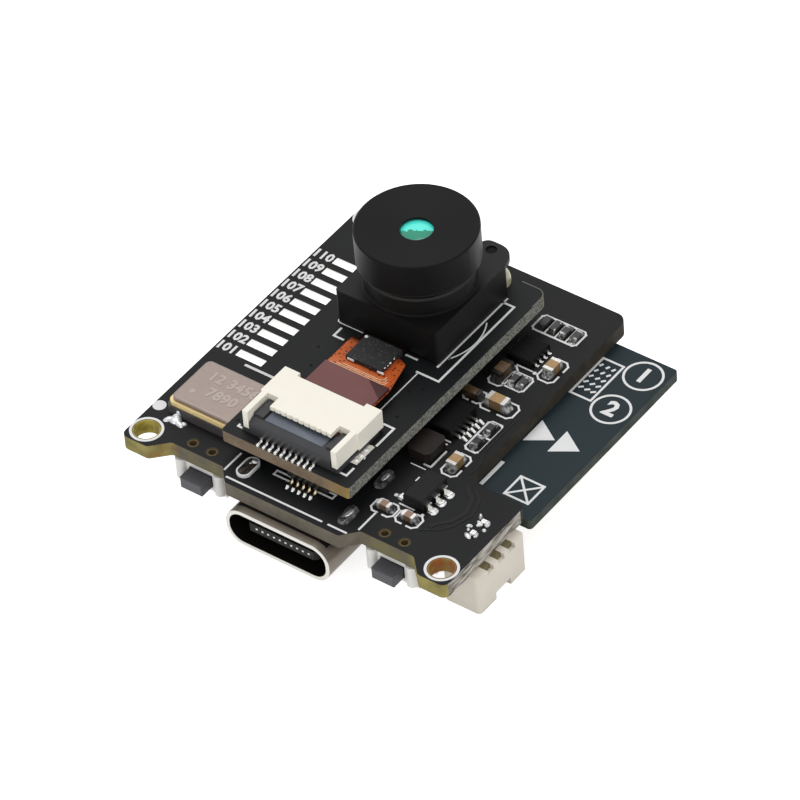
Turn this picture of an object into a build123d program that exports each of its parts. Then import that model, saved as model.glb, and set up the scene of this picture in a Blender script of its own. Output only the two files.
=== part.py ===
"""A small camera module: a main board with a USB-C socket, two side buttons, a wire socket and a
radio module, and a camera board stacked above it that carries a lens camera on a short flex.

Millimetres. The origin lies midway between the two near mounting holes, on the main board's top
face. +X runs along the USB edge, +Y from the USB edge towards the camera, +Z up through the lens.
"""
from build123d import *
import os
from math import sqrt

# Main board outline and mounting holes
board_thickness = 1.2
hole_spacing = 25.5
hole_radius = 1.0
hole_margin = 1.25
ear_reach = 1.37
ear_corner = 0.55
ear_width = 2.3
ear_slope = 1.25
notch_y = -0.1
tab_half_width = 4.9
tab_slope = 1.05
tab_reach = 1.27
far_hole_y = 26.2
wide_part_y = 8.0
cutaway_depth = 4.85
cutaway_corner = 1.2
board_corner = 0.9

# Camera board, carried above the main board by the stacking connector
stack_gap = 1.5
camera_board_thickness = 1.0
camera_board_width = 11.0
camera_board_depth = 23.6
camera_board_x = -1.05
camera_board_near_y = 0.8
camera_board_corner = 0.8
camera_board_near_corner = 0.25

# Stacking connector between the two boards
stack_x = 0.12
stack_near_y = 1.6
stack_width = 3.4
stack_depth = 3.4
stack_wall = 0.45
stack_base = 0.25
stack_play = 0.05
socket_height = 0.95
lead_pitch = 0.5
leads_per_row = 5
small_lead_width = 0.2
small_lead_thickness = 0.12
stack_lead_reach = 0.95

# Crystal oscillator
oscillator_width = 7.0
oscillator_depth = 5.0
oscillator_usb_gap = 1.38
oscillator_near_y = 2.2
ceramic_height = 0.75
seal_height = 0.35
seal_inset = 0.12
seal_width = 0.5
lid_height = 0.35
lid_inset = 0.28
oscillator_corner = 0.45

# USB-C socket under the near edge
usb_width = 8.94
usb_height = 3.16
usb_corner = 1.45
usb_wall = 0.3
usb_length = 7.35
usb_overhang = 0.79
usb_seat_gap = 0.1
usb_block_length = 1.9
usb_tongue_width = 6.1
usb_tongue_thickness = 0.75
usb_tongue_inset = 0.48
usb_contact_count = 10
usb_contact_width = 0.26
usb_contact_length = 3.4
usb_contact_height = 0.05
usb_peg_width = 1.1
usb_peg_first = 2.74
usb_peg_step = 4.18
usb_slot_play = 0.2
solder_height = 0.22
solder_margin = 0.22

# Side push switches, one each side of the USB socket
switch_from_hole = 4.45
switch_width = 4.4
switch_depth = 3.5
switch_height = 2.0
switch_front_y = 0.15
switch_post_radius = 0.42
switch_post_inset = 0.1
switch_post_short = 0.2
cover_thickness = 0.15
peg_radius = 0.3
peg_spacing = 1.68
peg_length = 0.55
peg_hole_play = 0.06
plunger_width = 1.88
plunger_height = 0.98
plunger_reach = 1.22
plunger_drop = 1.21
plunger_play = 0.08
plunger_travel = 0.25
plunger_depth = 0.85
plunger_bevel = 0.06
switch_stop_gap = 0.15

# Two-way wire socket under the right ear, with its mouth downwards
socket_depth_x = 3.05
socket_length_y = 5.5
socket_height_z = 3.3
socket_wall = 0.5
socket_roof = 0.9
socket_overhang = 0.78
socket_near_y = 1.25
socket_corner = 0.35
socket_notch_width = 1.7
socket_notch_height = 0.62
pin_pitch = 1.25
pin_size = 0.35
pin_from_wall = 0.95
pin_shift = 0.4
pin_tip_gap = 0.7
pin_top = 0.3
pin_hole_radius = 0.32
pin_solder_margin = 0.14
foot_gap_width = 0.7
foot_gap_height = 0.36
foot_gap_depth = 0.95

# Radio module soldered flat to the underside
radio_length = 25.5
radio_width = 18.0
radio_board_thickness = 0.8
radio_overhang = 0.46
radio_near_y = 7.85
radio_corner = 0.3
shield_height = 2.3
shield_wall = 0.2
shield_margin = 0.3
shield_corner = 0.6
antenna_zone = 6.2
castellation_radius = 0.25
castellation_pitch = 1.27
castellations_side = 14
castellations_end = 12
radio_chip_size = 7.0
radio_chip_height = 0.85
antenna_trace = 0.5
antenna_height = 0.05
antenna_edge_gap = 0.7
antenna_turns = 5

# Flex connector on the camera board
connector_x = -1.13
contact_count = 10
contact_pitch = 0.5
contact_width = 0.2
contact_thickness = 0.13
contact_reach = 0.78
contact_foot = 0.45
contact_rise = 0.32
housing_front_y = 1.6
housing_width = 7.0
housing_foot_width = 8.3
housing_depth = 4.7
housing_front_height = 1.0
housing_lip = 0.55
housing_lip_rise = 0.2
housing_end_inset = 0.65
housing_end_rise = 0.2
housing_bevel = 0.12
trough_floor = 0.75
trough_play = 0.12
slider_play = 0.08
bridge_gap = 0.06
slider_wall = 0.6
slider_step = 0.15
slider_lift = 0.35
slider_plate = 0.7
slider_head = 0.07
slider_length = 5.15
slider_front_y = 1.65
slider_bridge_depth = 2.8
slider_tongue_reach = 1.02
slider_tongue_width = 5.25
slider_tongue_thickness = 0.34
slider_back_notch = 0.35
slider_notch_margin = 0.25
slider_tooth = 0.07
slider_travel = 1.0
tab_width = 2.1
tab_thickness = 0.15
tab_reach_out = 0.6

# Flex between the connector and the camera
flex_width = 5.5
flex_thickness = 0.12
stiffener_thickness = 0.2
stiffener_end_y = 9.5
flex_start_y = 3.6
flex_bend_start = 12.2
flex_bend_length = 1.85
flex_taper = 0.62
flex_neck = 1.97
flex_neck_length = 0.7
flex_chip_offset = -0.22
flex_chip_width = 3.05
flex_chip_depth = 2.5
flex_chip_height = 0.38
flex_chip_gap = 1.1
flex_lift = 0.05

# Camera: square holder, threaded barrel with a wide cap, and what it holds inside
holder_width = 8.7
holder_depth = 8.5
holder_x = -1.98
holder_near_y = 14.07
holder_height = 3.0
holder_wall = 0.7
holder_roof = 0.8
holder_corner = 0.2
collar_radius = 4.05
collar_height = 1.5
collar_chamfer = 0.15
stem_radius = 3.2
stem_play = 0.03
cap_radius = 4.48
cap_height = 2.75
cap_dish = 0.3
cap_rim = 0.25
cap_gap = 0.6
cap_bevel = 0.09
barrel_bore = 2.3
aperture_radius = 1.2
aperture_wall = 0.2
glass_play = 0.02
front_glass_edge = 0.7
front_glass_dome = 0.25
rear_glass_thickness = 0.8
barrel_floor_gap = 0.15
ear_length = 1.62
ear_side = 2.85
ear_thickness = 0.4
ear_drop = 0.08
ear_inset = 0.15
ear_round = 1.5
ear_left_round = 0.7
ear_hole_radius = 0.42
ear_hole_from_left = 1.1
sensor_board_thickness = 0.45
sensor_board_margin = 0.15
sensor_size = 4.2
sensor_height = 0.7
filter_thickness = 0.3
glue_size = (0.8, 1.0, 1.45)
glue_from_side = 1.42
glue_from_wall = 0.83

# Small parts on the main board
ceramic_cap_size = (1.6, 0.85, 0.8)
medium_cap_size = (1.25, 0.8, 0.72)
small_cap_size = (1.0, 0.55, 0.5)
resistor_size = (1.0, 0.5, 0.35)
cap_end = 0.32
resistor_end = 0.2
inductor_size = (2.0, 2.3, 0.88)
inductor_corner = 0.3
inductor_place = (5.1, 8.8)
regulator_size = (1.6, 2.9, 1.05)
regulator_place = (7.7, 5.1)
charger_size = (3.0, 3.0, 0.95)
charger_place = (4.45, 12.0)
logic_size = (2.1, 2.3, 0.6)
logic_place = (5.35, 20.6)
chip_standoff = 0.08
regulator_lead = (0.48, 0.66, 0.15, 0.55)
charger_lead = (0.22, 0.95, 0.12, 0.24)
logic_lead = (0.22, 0.35, 0.1, 0.24)
regulator_pitch = 0.95
chip_pitch = 0.5
tall_caps_along_x = [(6.65, 15.1)]
tall_caps_along_y = [(5.05, 17.9)]
medium_caps_along_y = [(7.8, 20.05), (7.65, 8.7)]
small_caps_along_x = [(6.0, 2.65), (8.05, 2.65)]
resistors_along_y = [(7.65, 12.8), (7.65, 11.2), (6.15, 17.85), (6.85, 17.85)]
resistor_row_y = 23.75
resistor_row_x = 4.55
resistor_row_step = 0.9
resistor_row_count = 4

# Heights and edges worked out from the sizes above
board_bottom = -board_thickness
board_side = hole_spacing / 2 + hole_margin
board_far_y = far_hole_y + hole_margin
cutaway_x = board_side - cutaway_depth
switch_x = hole_spacing / 2 - switch_from_hole
camera_bottom = stack_gap
camera_top = stack_gap + camera_board_thickness
camera_board_mid_y = camera_board_near_y + camera_board_depth / 2
usb_front_y = -tab_reach - usb_overhang
usb_back_y = usb_front_y + usb_length
usb_mid_z = board_bottom - usb_seat_gap - usb_height / 2
usb_peg_x = (usb_width - usb_wall) / 2
oscillator_left_x = -usb_peg_x - oscillator_usb_gap - oscillator_width
usb_peg_y = [usb_front_y + usb_peg_first, usb_front_y + usb_peg_first + usb_peg_step]
switch_bottom = board_bottom - switch_height
plunger_mid_z = board_bottom - plunger_drop
socket_right_x = board_side + socket_overhang
socket_left_x = socket_right_x - socket_depth_x
socket_far_y = socket_near_y + socket_length_y
socket_mid_y = socket_near_y + socket_length_y / 2
socket_bottom = board_bottom - socket_height_z
pin_x = socket_left_x + pin_from_wall
peg_y = switch_front_y + peg_radius * 5 / 3
radio_right_x = board_side + radio_overhang
radio_left_x = radio_right_x - radio_length
radio_far_y = radio_near_y + radio_width
radio_bottom = board_bottom - radio_board_thickness
shield_right_x = radio_right_x - antenna_zone
housing_back_y = housing_front_y + housing_depth
housing_top = camera_top + housing_front_height
trough_z = camera_top + trough_floor
flex_z = trough_z + flex_lift
flex_end_z = camera_top + flex_lift
stiffener_top = flex_z + flex_thickness + stiffener_thickness
slider_under = stiffener_top + slider_head
slider_top = slider_under + slider_plate
slider_back_y = slider_front_y + slider_length
holder_mid = (holder_x, holder_near_y + holder_depth / 2)
holder_top = camera_top + holder_height
holder_far_y = holder_near_y + holder_depth
collar_top = holder_top + collar_height
cap_bottom = collar_top + cap_gap
cap_top = cap_bottom + cap_height
face_z = cap_top - cap_dish
flex_bend_end = flex_bend_start + flex_bend_length
flex_chip_x = connector_x + flex_chip_offset
flex_chip_far_y = holder_near_y - flex_chip_gap
flex_chip_near_y = flex_chip_far_y - flex_chip_depth
barrel_bottom = holder_top - holder_roof + barrel_floor_gap
filter_top = holder_top - holder_roof


def block(x0, x1, y0, y1, z0, z1):
    """A box between two corners."""
    middle = Pos((x0 + x1) / 2, (y0 + y1) / 2, (z0 + z1) / 2)
    return middle * Box(x1 - x0, y1 - y0, z1 - z0)


def standing(place, size, z):
    """A box of the given size that stands at height z, centred on place."""
    width, depth, height = size
    return Pos(place[0], place[1], z + height / 2) * Box(width, depth, height)


def across(points, x0, x1):
    """A profile of (y, z) points, extruded along X from x0 to x1."""
    plane = Plane(origin=(x0, 0, 0), x_dir=(0, 1, 0), z_dir=(1, 0, 0))
    return extrude(plane * make_face(Polyline(*points, close=True)), x1 - x0)


def rounded_face(corners):
    """A flat outline from (x, y, radius) corners."""
    face = Sketch() + make_face(Polyline(*[(x, y) for x, y, radius in corners], close=True))
    for x, y, radius in corners:
        if radius > 0:
            corner = face.vertices().sort_by_distance((x, y, 0))[0]
            face = fillet(corner, radius)
    return face


def group(solids):
    """Several separate solids that share one node."""
    return Compound(children=list(solids))


def main_board_outline():
    side = board_side
    ear_inner = side - ear_width
    notch_outer = ear_inner - ear_slope
    notch_inner = tab_half_width + tab_slope
    left = [(-side, -ear_reach, ear_corner),
            (-ear_inner, -ear_reach, 0.4),
            (-notch_outer, notch_y, 0.4),
            (-notch_inner, notch_y, 0.3),
            (-tab_half_width, -tab_reach, 0.2)]
    right = [(-x, y, radius) for x, y, radius in reversed(left)]
    rest = [(side, wide_part_y, 0.5),
            (cutaway_x, wide_part_y, cutaway_corner),
            (cutaway_x, board_far_y, board_corner),
            (-side, board_far_y, hole_margin * 0.98)]
    return rounded_face(left + right + rest)


def main_board():
    board = extrude(main_board_outline(), -board_thickness)
    half = hole_spacing / 2
    drill = board_thickness * 2
    for x, y in [(-half, 0), (half, 0), (-half, far_hole_y)]:
        board -= Pos(x, y, board_bottom / 2) * Cylinder(hole_radius, drill)
    for x, y in switch_pegs():
        board -= Pos(x, y, board_bottom / 2) * Cylinder(peg_radius + peg_hole_play, drill)
    slot_long = usb_peg_width + usb_slot_play * 2
    slot_wide = usb_wall + usb_slot_play
    slot = extrude(SlotOverall(slot_long, slot_wide, rotation=90), drill / 2, both=True)
    for x, y in usb_pegs():
        board -= Pos(x, y, board_bottom / 2) * slot
    for y in pin_rows():
        board -= Pos(pin_x, y, board_bottom / 2) * Cylinder(pin_hole_radius, drill)
    return board


def switch_pegs():
    """Places of the locating pegs of both switches."""
    half = peg_spacing / 2
    return [(side * switch_x + step, peg_y) for side in (-1, 1) for step in (-half, half)]


def usb_pegs():
    return [(side * usb_peg_x, y) for side in (-1, 1) for y in usb_peg_y]


def pin_rows():
    middle = socket_mid_y + pin_shift
    return [middle - pin_pitch / 2, middle + pin_pitch / 2]


def camera_board():
    x0 = camera_board_x - camera_board_width / 2
    x1 = camera_board_x + camera_board_width / 2
    far_y = camera_board_near_y + camera_board_depth
    outline = rounded_face([(x0, camera_board_near_y, camera_board_near_corner),
                            (x1, camera_board_near_y, camera_board_near_corner),
                            (x1, far_y, camera_board_corner),
                            (x0, far_y, camera_board_corner)])
    return Pos(0, 0, camera_bottom) * extrude(outline, camera_board_thickness)


def stack_socket():
    """The lower half: a tray with raised walls."""
    outer = block(stack_x - stack_width / 2, stack_x + stack_width / 2,
                  stack_near_y, stack_near_y + stack_depth, 0, socket_height)
    tray = block(stack_x - stack_width / 2 + stack_wall, stack_x + stack_width / 2 - stack_wall,
                 stack_near_y + stack_wall, stack_near_y + stack_depth - stack_wall,
                 stack_base, socket_height + 1)
    return outer - tray


def stack_plug():
    """The upper half, which hangs from the camera board into the tray."""
    inset = stack_wall + stack_play
    return block(stack_x - stack_width / 2 + inset, stack_x + stack_width / 2 - inset,
                 stack_near_y + inset, stack_near_y + stack_depth - inset,
                 stack_base + stack_play, camera_bottom)


def stack_leads():
    """Two rows of leads that hold the socket to the main board."""
    leads = []
    first = stack_x - lead_pitch * (leads_per_row - 1) / 2
    one = gull_lead(small_lead_width, stack_lead_reach, stack_lead_reach * 0.55,
                    socket_height * 0.5, small_lead_thickness)
    for index in range(leads_per_row):
        x = first + index * lead_pitch
        leads.append(Pos(x, stack_near_y, 0) * Rot(0, 0, -90) * one)
        leads.append(Pos(x, stack_near_y + stack_depth, 0) * Rot(0, 0, 90) * one)
    return group(leads)


def gull_lead(width, reach, foot, rise, thickness):
    """A bent lead that starts at the body's side, drops and runs out along +X."""
    bend = reach - foot
    points = [(0, rise), (bend, rise), (bend, thickness), (reach, thickness),
              (reach, 0), (bend - thickness, 0), (bend - thickness, rise - thickness),
              (0, rise - thickness)]
    plane = Plane(origin=(0, width / 2, 0), x_dir=(1, 0, 0), z_dir=(0, -1, 0))
    return extrude(plane * make_face(Polyline(*points, close=True)), width)


def oscillator_layer(inset, z, height):
    outline = RectangleRounded(oscillator_width - 2 * inset, oscillator_depth - 2 * inset,
                               oscillator_corner)
    place = Pos(oscillator_left_x + oscillator_width / 2,
                oscillator_near_y + oscillator_depth / 2, z)
    return place * extrude(outline, height)


def oscillator_base():
    return oscillator_layer(0, 0, ceramic_height)


def oscillator_ring():
    inner = RectangleRounded(oscillator_width - 2 * (seal_inset + seal_width),
                             oscillator_depth - 2 * (seal_inset + seal_width), 0.3)
    place = Pos(oscillator_left_x + oscillator_width / 2,
                oscillator_near_y + oscillator_depth / 2, ceramic_height)
    return oscillator_layer(seal_inset, ceramic_height, seal_height) - place * extrude(
        inner, seal_height)


def oscillator_lid():
    lid = oscillator_layer(lid_inset, ceramic_height + seal_height, lid_height)
    return fillet(lid.edges().group_by(Axis.Z)[-1], lid_height * 0.4)


def usb_face(width, height, corner):
    """A rounded outline that faces the near side, at the socket's middle height."""
    plane = Plane(origin=(0, usb_back_y, usb_mid_z), x_dir=(1, 0, 0), z_dir=(0, -1, 0))
    return plane * RectangleRounded(width, height, corner)


def usb_shell():
    outer = extrude(usb_face(usb_width, usb_height, usb_corner), usb_length)
    hollow = extrude(usb_face(usb_width - 2 * usb_wall, usb_height - 2 * usb_wall,
                              usb_corner - usb_wall), usb_length)
    shell = outer - hollow
    for x, y in usb_pegs():
        shell += block(x - usb_wall / 2, x + usb_wall / 2, y - usb_peg_width / 2,
                       y + usb_peg_width / 2, usb_mid_z, solder_height * 0.5)
    return shell


def usb_tongue():
    """The moulded block that closes the back of the shell, with the tongue in front of it."""
    block_part = extrude(usb_face(usb_width - 2 * usb_wall, usb_height - 2 * usb_wall,
                                  usb_corner - usb_wall), usb_block_length)
    tongue = block(-usb_tongue_width / 2, usb_tongue_width / 2,
                   usb_front_y + usb_tongue_inset, usb_back_y,
                   usb_mid_z - usb_tongue_thickness / 2, usb_mid_z + usb_tongue_thickness / 2)
    tip = tongue.edges().filter_by(Axis.Z).group_by(Axis.Y)[0]
    return block_part + chamfer(tip, 0.3)


def usb_contacts():
    contacts = []
    first = -lead_pitch * (usb_contact_count - 1) / 2
    back = usb_back_y - usb_block_length
    for face in (-1, 1):
        z = usb_mid_z + face * (usb_tongue_thickness + usb_contact_height) / 2
        for index in range(usb_contact_count):
            place = Pos(first + index * lead_pitch, back - usb_contact_length / 2, z)
            contacts.append(place * Box(usb_contact_width, usb_contact_length, usb_contact_height))
    return group(contacts)


def usb_solder():
    """A low solder pool round each of the four shell pegs."""
    pools = []
    long = usb_peg_width + 2 * (usb_slot_play + solder_margin)
    wide = usb_wall + usb_slot_play + 2 * solder_margin
    pool = extrude(SlotOverall(long, wide, rotation=90), solder_height, taper=20)
    peg = Box(usb_wall, usb_peg_width, solder_height)
    for x, y in usb_pegs():
        pools.append(Pos(x, y, 0) * (pool - Pos(0, 0, 0) * peg))
    return group(pools)


def switch_body(side):
    mid = side * switch_x
    back = switch_front_y + switch_depth
    body = block(mid - switch_width / 2, mid + switch_width / 2, switch_front_y, back,
                 switch_bottom, board_bottom)
    post_x = switch_width / 2 - switch_post_radius - switch_post_inset
    post_height = switch_height - switch_post_short
    for step in (-post_x, post_x):
        post = Pos(mid + step, switch_front_y, board_bottom - switch_height / 2)
        body += post * Cylinder(switch_post_radius, post_height)
    half = plunger_width / 2 + plunger_play
    high = plunger_height / 2 + plunger_play
    room = plunger_depth + plunger_travel + switch_stop_gap
    body -= block(mid - half, mid + half, switch_front_y - 1, switch_front_y + room,
                  plunger_mid_z - high, plunger_mid_z + high)
    for x, y in switch_pegs():
        if x * side > 0:
            body += Pos(x, y, board_bottom + peg_length / 2) * Cylinder(peg_radius, peg_length)
    return body


def switch_cover(side):
    """The metal plate that closes the switch underneath, with an ear down each flank."""
    mid = side * switch_x
    back = switch_front_y + switch_depth
    plate = block(mid - switch_width / 2, mid + switch_width / 2, switch_front_y, back,
                  switch_bottom - cover_thickness, switch_bottom)
    flank_y = switch_front_y + switch_depth / 2
    for step in (-1, 1):
        inner = mid + step * switch_width / 2
        outer = inner + step * cover_thickness
        plate += block(min(inner, outer), max(inner, outer), flank_y, back,
                       switch_bottom - cover_thickness, board_bottom)
    return plate


def switch_plunger(side):
    mid = side * switch_x
    half = plunger_width / 2
    key = block(mid - half, mid + half, switch_front_y - plunger_reach,
                switch_front_y + plunger_depth,
                plunger_mid_z - plunger_height / 2, plunger_mid_z + plunger_height / 2)
    front = key.edges().group_by(Axis.Y)[0]
    return chamfer(front, plunger_bevel)


def wire_socket_housing():
    outline = Rectangle(socket_depth_x, socket_length_y)
    outline = fillet(outline.vertices(), socket_corner)
    mid_x = (socket_left_x + socket_right_x) / 2
    body = Pos(mid_x, socket_mid_y, board_bottom) * extrude(outline, -socket_height_z)
    body -= block(socket_left_x + socket_wall, socket_right_x - socket_wall,
                  socket_near_y + socket_wall, socket_far_y - socket_wall,
                  socket_bottom - 1, board_bottom - socket_roof)
    body -= block(socket_right_x - socket_wall * 2, socket_right_x + 1,
                  socket_mid_y - socket_notch_width / 2, socket_mid_y + socket_notch_width / 2,
                  socket_bottom - 1, socket_bottom + socket_notch_height)
    for step in (-1, 0, 1):
        y = socket_mid_y + step * pin_pitch
        body -= block(socket_right_x - foot_gap_depth, socket_right_x + 1,
                      y - foot_gap_width / 2, y + foot_gap_width / 2,
                      board_bottom - foot_gap_height, board_bottom + 1)
    for pin in pins():
        body -= pin
    return body


def pins():
    return [block(pin_x - pin_size / 2, pin_x + pin_size / 2, y - pin_size / 2, y + pin_size / 2,
                  socket_bottom + pin_tip_gap, pin_top) for y in pin_rows()]


def wire_socket_pins():
    return group(pins())


def wire_socket_solder():
    """A solder cone round each pin on the board's top face."""
    cones = []
    foot = pin_hole_radius + pin_solder_margin
    for y, pin in zip(pin_rows(), pins()):
        cone = Pos(pin_x, y, pin_top / 2) * Cone(foot, pin_size * 0.75, pin_top)
        cones.append(cone - pin)
    return group(cones)


def radio_board():
    outline = RectangleRounded(radio_length, radio_width, radio_corner)
    mid = ((radio_left_x + radio_right_x) / 2, (radio_near_y + radio_far_y) / 2)
    board = Pos(mid[0], mid[1], board_bottom) * extrude(outline, -radio_board_thickness)
    drill = Cylinder(castellation_radius, radio_board_thickness * 2)
    first_x = radio_left_x + castellation_pitch
    for index in range(castellations_side):
        for y in (radio_near_y, radio_far_y):
            board -= Pos(first_x + index * castellation_pitch, y, board_bottom) * drill
    first_y = mid[1] - castellation_pitch * (castellations_end - 1) / 2
    for index in range(castellations_end):
        board -= Pos(radio_left_x, first_y + index * castellation_pitch, board_bottom) * drill
    return board


def radio_shield():
    length = shield_right_x - radio_left_x - shield_margin * 2
    width = radio_width - shield_margin * 2
    mid_x = (shield_right_x + radio_left_x) / 2
    mid_y = (radio_near_y + radio_far_y) / 2
    outer = extrude(RectangleRounded(length, width, shield_corner), -shield_height)
    outer = fillet(outer.edges().group_by(Axis.Z)[0], shield_wall * 0.9)
    inner = extrude(RectangleRounded(length - 2 * shield_wall, width - 2 * shield_wall,
                                     shield_corner - shield_wall), shield_wall - shield_height)
    return Pos(mid_x, mid_y, radio_bottom) * (outer - inner)


def radio_chip():
    place = ((shield_right_x + radio_left_x) / 2, (radio_near_y + radio_far_y) / 2)
    size = (radio_chip_size, radio_chip_size, radio_chip_height)
    return standing(place, size, radio_bottom - radio_chip_height)


def radio_antenna():
    """A folded copper trace under the free end of the radio board."""
    z0 = radio_bottom - antenna_height
    left = shield_right_x + antenna_edge_gap
    right = radio_right_x - antenna_edge_gap
    near = radio_near_y + antenna_edge_gap
    far = radio_far_y - antenna_edge_gap
    step = (far - near - antenna_trace) / (2 * antenna_turns)
    trace = block(left, right, near, near + antenna_trace, z0, radio_bottom)
    for index in range(2 * antenna_turns):
        y = near + index * step
        x = right if index % 2 == 0 else left
        edge = x - antenna_trace if index % 2 == 0 else x
        trace += block(edge, edge + antenna_trace, y, y + step + antenna_trace, z0, radio_bottom)
        trace += block(left, right, y + step, y + step + antenna_trace, z0, radio_bottom)
    return trace


def flex_housing():
    """The black base of the flex connector: a foot, a stepped front and a trough behind."""
    front = housing_front_y
    band_top = housing_top + housing_lip_rise
    front_back = slider_back_y - slider_bridge_depth - bridge_gap
    wall_top = slider_under - slider_play
    points = [(front, camera_top), (front, housing_top - housing_bevel),
              (front + housing_bevel, housing_top), (front + housing_lip, band_top),
              (front_back, band_top), (front_back, wall_top),
              (housing_back_y, wall_top), (housing_back_y, camera_top)]
    body = across(points, connector_x - housing_width / 2, connector_x + housing_width / 2)
    inner = slider_tongue_width / 2 + bridge_gap
    for side in (-1, 1):
        x0 = connector_x + side * inner
        x1 = connector_x + side * housing_width / 2
        body += block(min(x0, x1), max(x0, x1), front + housing_end_inset, front_back,
                      camera_top, band_top + housing_end_rise)
    body += block(connector_x - housing_foot_width / 2, connector_x + housing_foot_width / 2,
                  front, housing_back_y, camera_top, camera_top + slider_lift - slider_play)
    half = flex_width / 2 + trough_play
    return body - block(connector_x - half, connector_x + half, flex_start_y - trough_play,
                        housing_back_y + 1, trough_z, slider_top)


def flex_contacts():
    contacts = []
    one = gull_lead(contact_width, contact_reach, contact_foot, contact_rise, contact_thickness)
    first = connector_x - contact_pitch * (contact_count - 1) / 2
    for index in range(contact_count):
        x = first + index * contact_pitch
        contacts.append(Pos(x, housing_front_y, camera_top) * Rot(0, 0, -90) * one)
    return group(contacts)


def flex_solder_tabs():
    """Flat metal tabs that hold the connector's flanks to the camera board."""
    inner = housing_foot_width / 2
    outer = inner + tab_reach_out
    near = housing_front_y + housing_depth / 2 - tab_width / 2
    tabs = []
    for side in (-1, 1):
        x0 = connector_x + side * inner
        x1 = connector_x + side * outer
        tabs.append(block(min(x0, x1), max(x0, x1), near, near + tab_width,
                          camera_top, camera_top + tab_thickness))
    return group(tabs)


def slider_half_width():
    return housing_width / 2 + slider_play + slider_wall


def flex_slider():
    """The cream slide lock: two long arms, a bridge plate and a toothed tongue in front."""
    outer = slider_half_width()
    inner = housing_width / 2 + slider_play
    bridge_front = slider_back_y - slider_bridge_depth
    low = camera_top + slider_lift
    lock = block(connector_x - outer, connector_x + outer, bridge_front, slider_back_y,
                 slider_under, slider_top)
    for side in (-1, 1):
        for y0, y1, reach in [(slider_front_y, bridge_front, outer - slider_step),
                              (bridge_front, slider_back_y, outer)]:
            x0 = connector_x + side * inner
            x1 = connector_x + side * reach
            lock += block(min(x0, x1), max(x0, x1), y0, y1, low, slider_top)
    half = slider_tongue_width / 2
    tongue_front = bridge_front - slider_tongue_reach
    lock += block(connector_x - half, connector_x + half, tongue_front, bridge_front,
                  slider_top - slider_tongue_thickness, slider_top)
    notch = slider_tongue_width / 2 + slider_notch_margin
    lock -= block(connector_x - notch, connector_x + notch, slider_back_y - slider_back_notch,
                  slider_back_y + 1, low, slider_top + 1)
    first = connector_x - contact_pitch * (contact_count - 1) / 2
    for index in range(contact_count):
        x = first + index * contact_pitch
        lock -= block(x - slider_tooth, x + slider_tooth, tongue_front - 1,
                      tongue_front + slider_tooth, slider_under - 1, slider_top + 1)
    return lock


def flex_curve(y0, y1, z0, z1):
    """An S-curve from (y0, z0) to (y1, z1) that starts and ends level, as two arcs."""
    length = y1 - y0
    drop = z0 - z1
    radius = (length * length + drop * drop) / (4 * drop)
    middle = ((y0 + y1) / 2, (z0 + z1) / 2)
    return middle, radius


def camera_flex():
    """The orange flex: level in the connector, then down in an S and level into the holder."""
    bend_start = flex_bend_start
    bend_end = flex_bend_end
    end_y = holder_near_y + holder_wall + sensor_board_margin
    middle, radius = flex_curve(bend_start, bend_end, flex_z, flex_end_z)
    lift = flex_thickness
    raised = (middle[0], middle[1] + lift)
    lines = [Line((flex_start_y, flex_z), (bend_start, flex_z)),
             RadiusArc((bend_start, flex_z), middle, radius),
             RadiusArc(middle, (bend_end, flex_end_z), -radius),
             Line((bend_end, flex_end_z), (end_y, flex_end_z)),
             Line((end_y, flex_end_z), (end_y, flex_end_z + lift)),
             Line((end_y, flex_end_z + lift), (bend_end, flex_end_z + lift)),
             RadiusArc((bend_end, flex_end_z + lift), raised, radius),
             RadiusArc(raised, (bend_start, flex_z + lift), -radius),
             Line((bend_start, flex_z + lift), (flex_start_y, flex_z + lift)),
             Line((flex_start_y, flex_z + lift), (flex_start_y, flex_z))]
    face = make_face(Curve() + lines)
    plane = Plane(origin=(connector_x - flex_width / 2, 0, 0), x_dir=(0, 1, 0), z_dir=(1, 0, 0))
    edge = connector_x + flex_width / 2
    neck_y = bend_start + flex_neck_length
    outside = edge + flex_width
    beyond = end_y + flex_width
    taper = [(edge, stiffener_end_y, 0), (edge - flex_taper, bend_start, 0),
             (edge - flex_neck, neck_y, 0), (edge - flex_neck, beyond, 0),
             (outside, beyond, 0), (outside, stiffener_end_y, 0)]
    cut = Pos(0, 0, camera_top - 1) * extrude(rounded_face(taper), slider_top - camera_top + 2)
    return extrude(plane * face, flex_width) - cut


def flex_stiffener():
    low = flex_z + flex_thickness
    return block(connector_x - flex_width / 2, connector_x + flex_width / 2, flex_start_y,
                 stiffener_end_y, low, low + stiffener_thickness)


def flex_height(y):
    """Height of the flex's top face along its bend."""
    bend_end = flex_bend_end
    middle, radius = flex_curve(flex_bend_start, bend_end, flex_z, flex_end_z)
    if y <= flex_bend_start:
        return flex_z + flex_thickness
    if y >= bend_end:
        return flex_end_z + flex_thickness
    if y <= middle[0]:
        step = y - flex_bend_start
        return flex_z + flex_thickness - radius + sqrt(radius * radius - step * step)
    step = bend_end - y
    return flex_end_z + flex_thickness + radius - sqrt(radius * radius - step * step)


def flex_chip():
    """The small chip on the flex, with its underside bedded on the flex's bend."""
    near = flex_chip_near_y
    far = flex_chip_far_y
    steps = 6
    under = []
    for index in range(steps + 1):
        y = far - flex_chip_depth * index / steps
        under.append((y, flex_height(y)))
    high = flex_height(near) + flex_chip_height
    points = [(near, high), (far, high)] + under
    chip = across(points, flex_chip_x - flex_chip_width / 2, flex_chip_x + flex_chip_width / 2)
    return chip - camera_flex()


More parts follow.
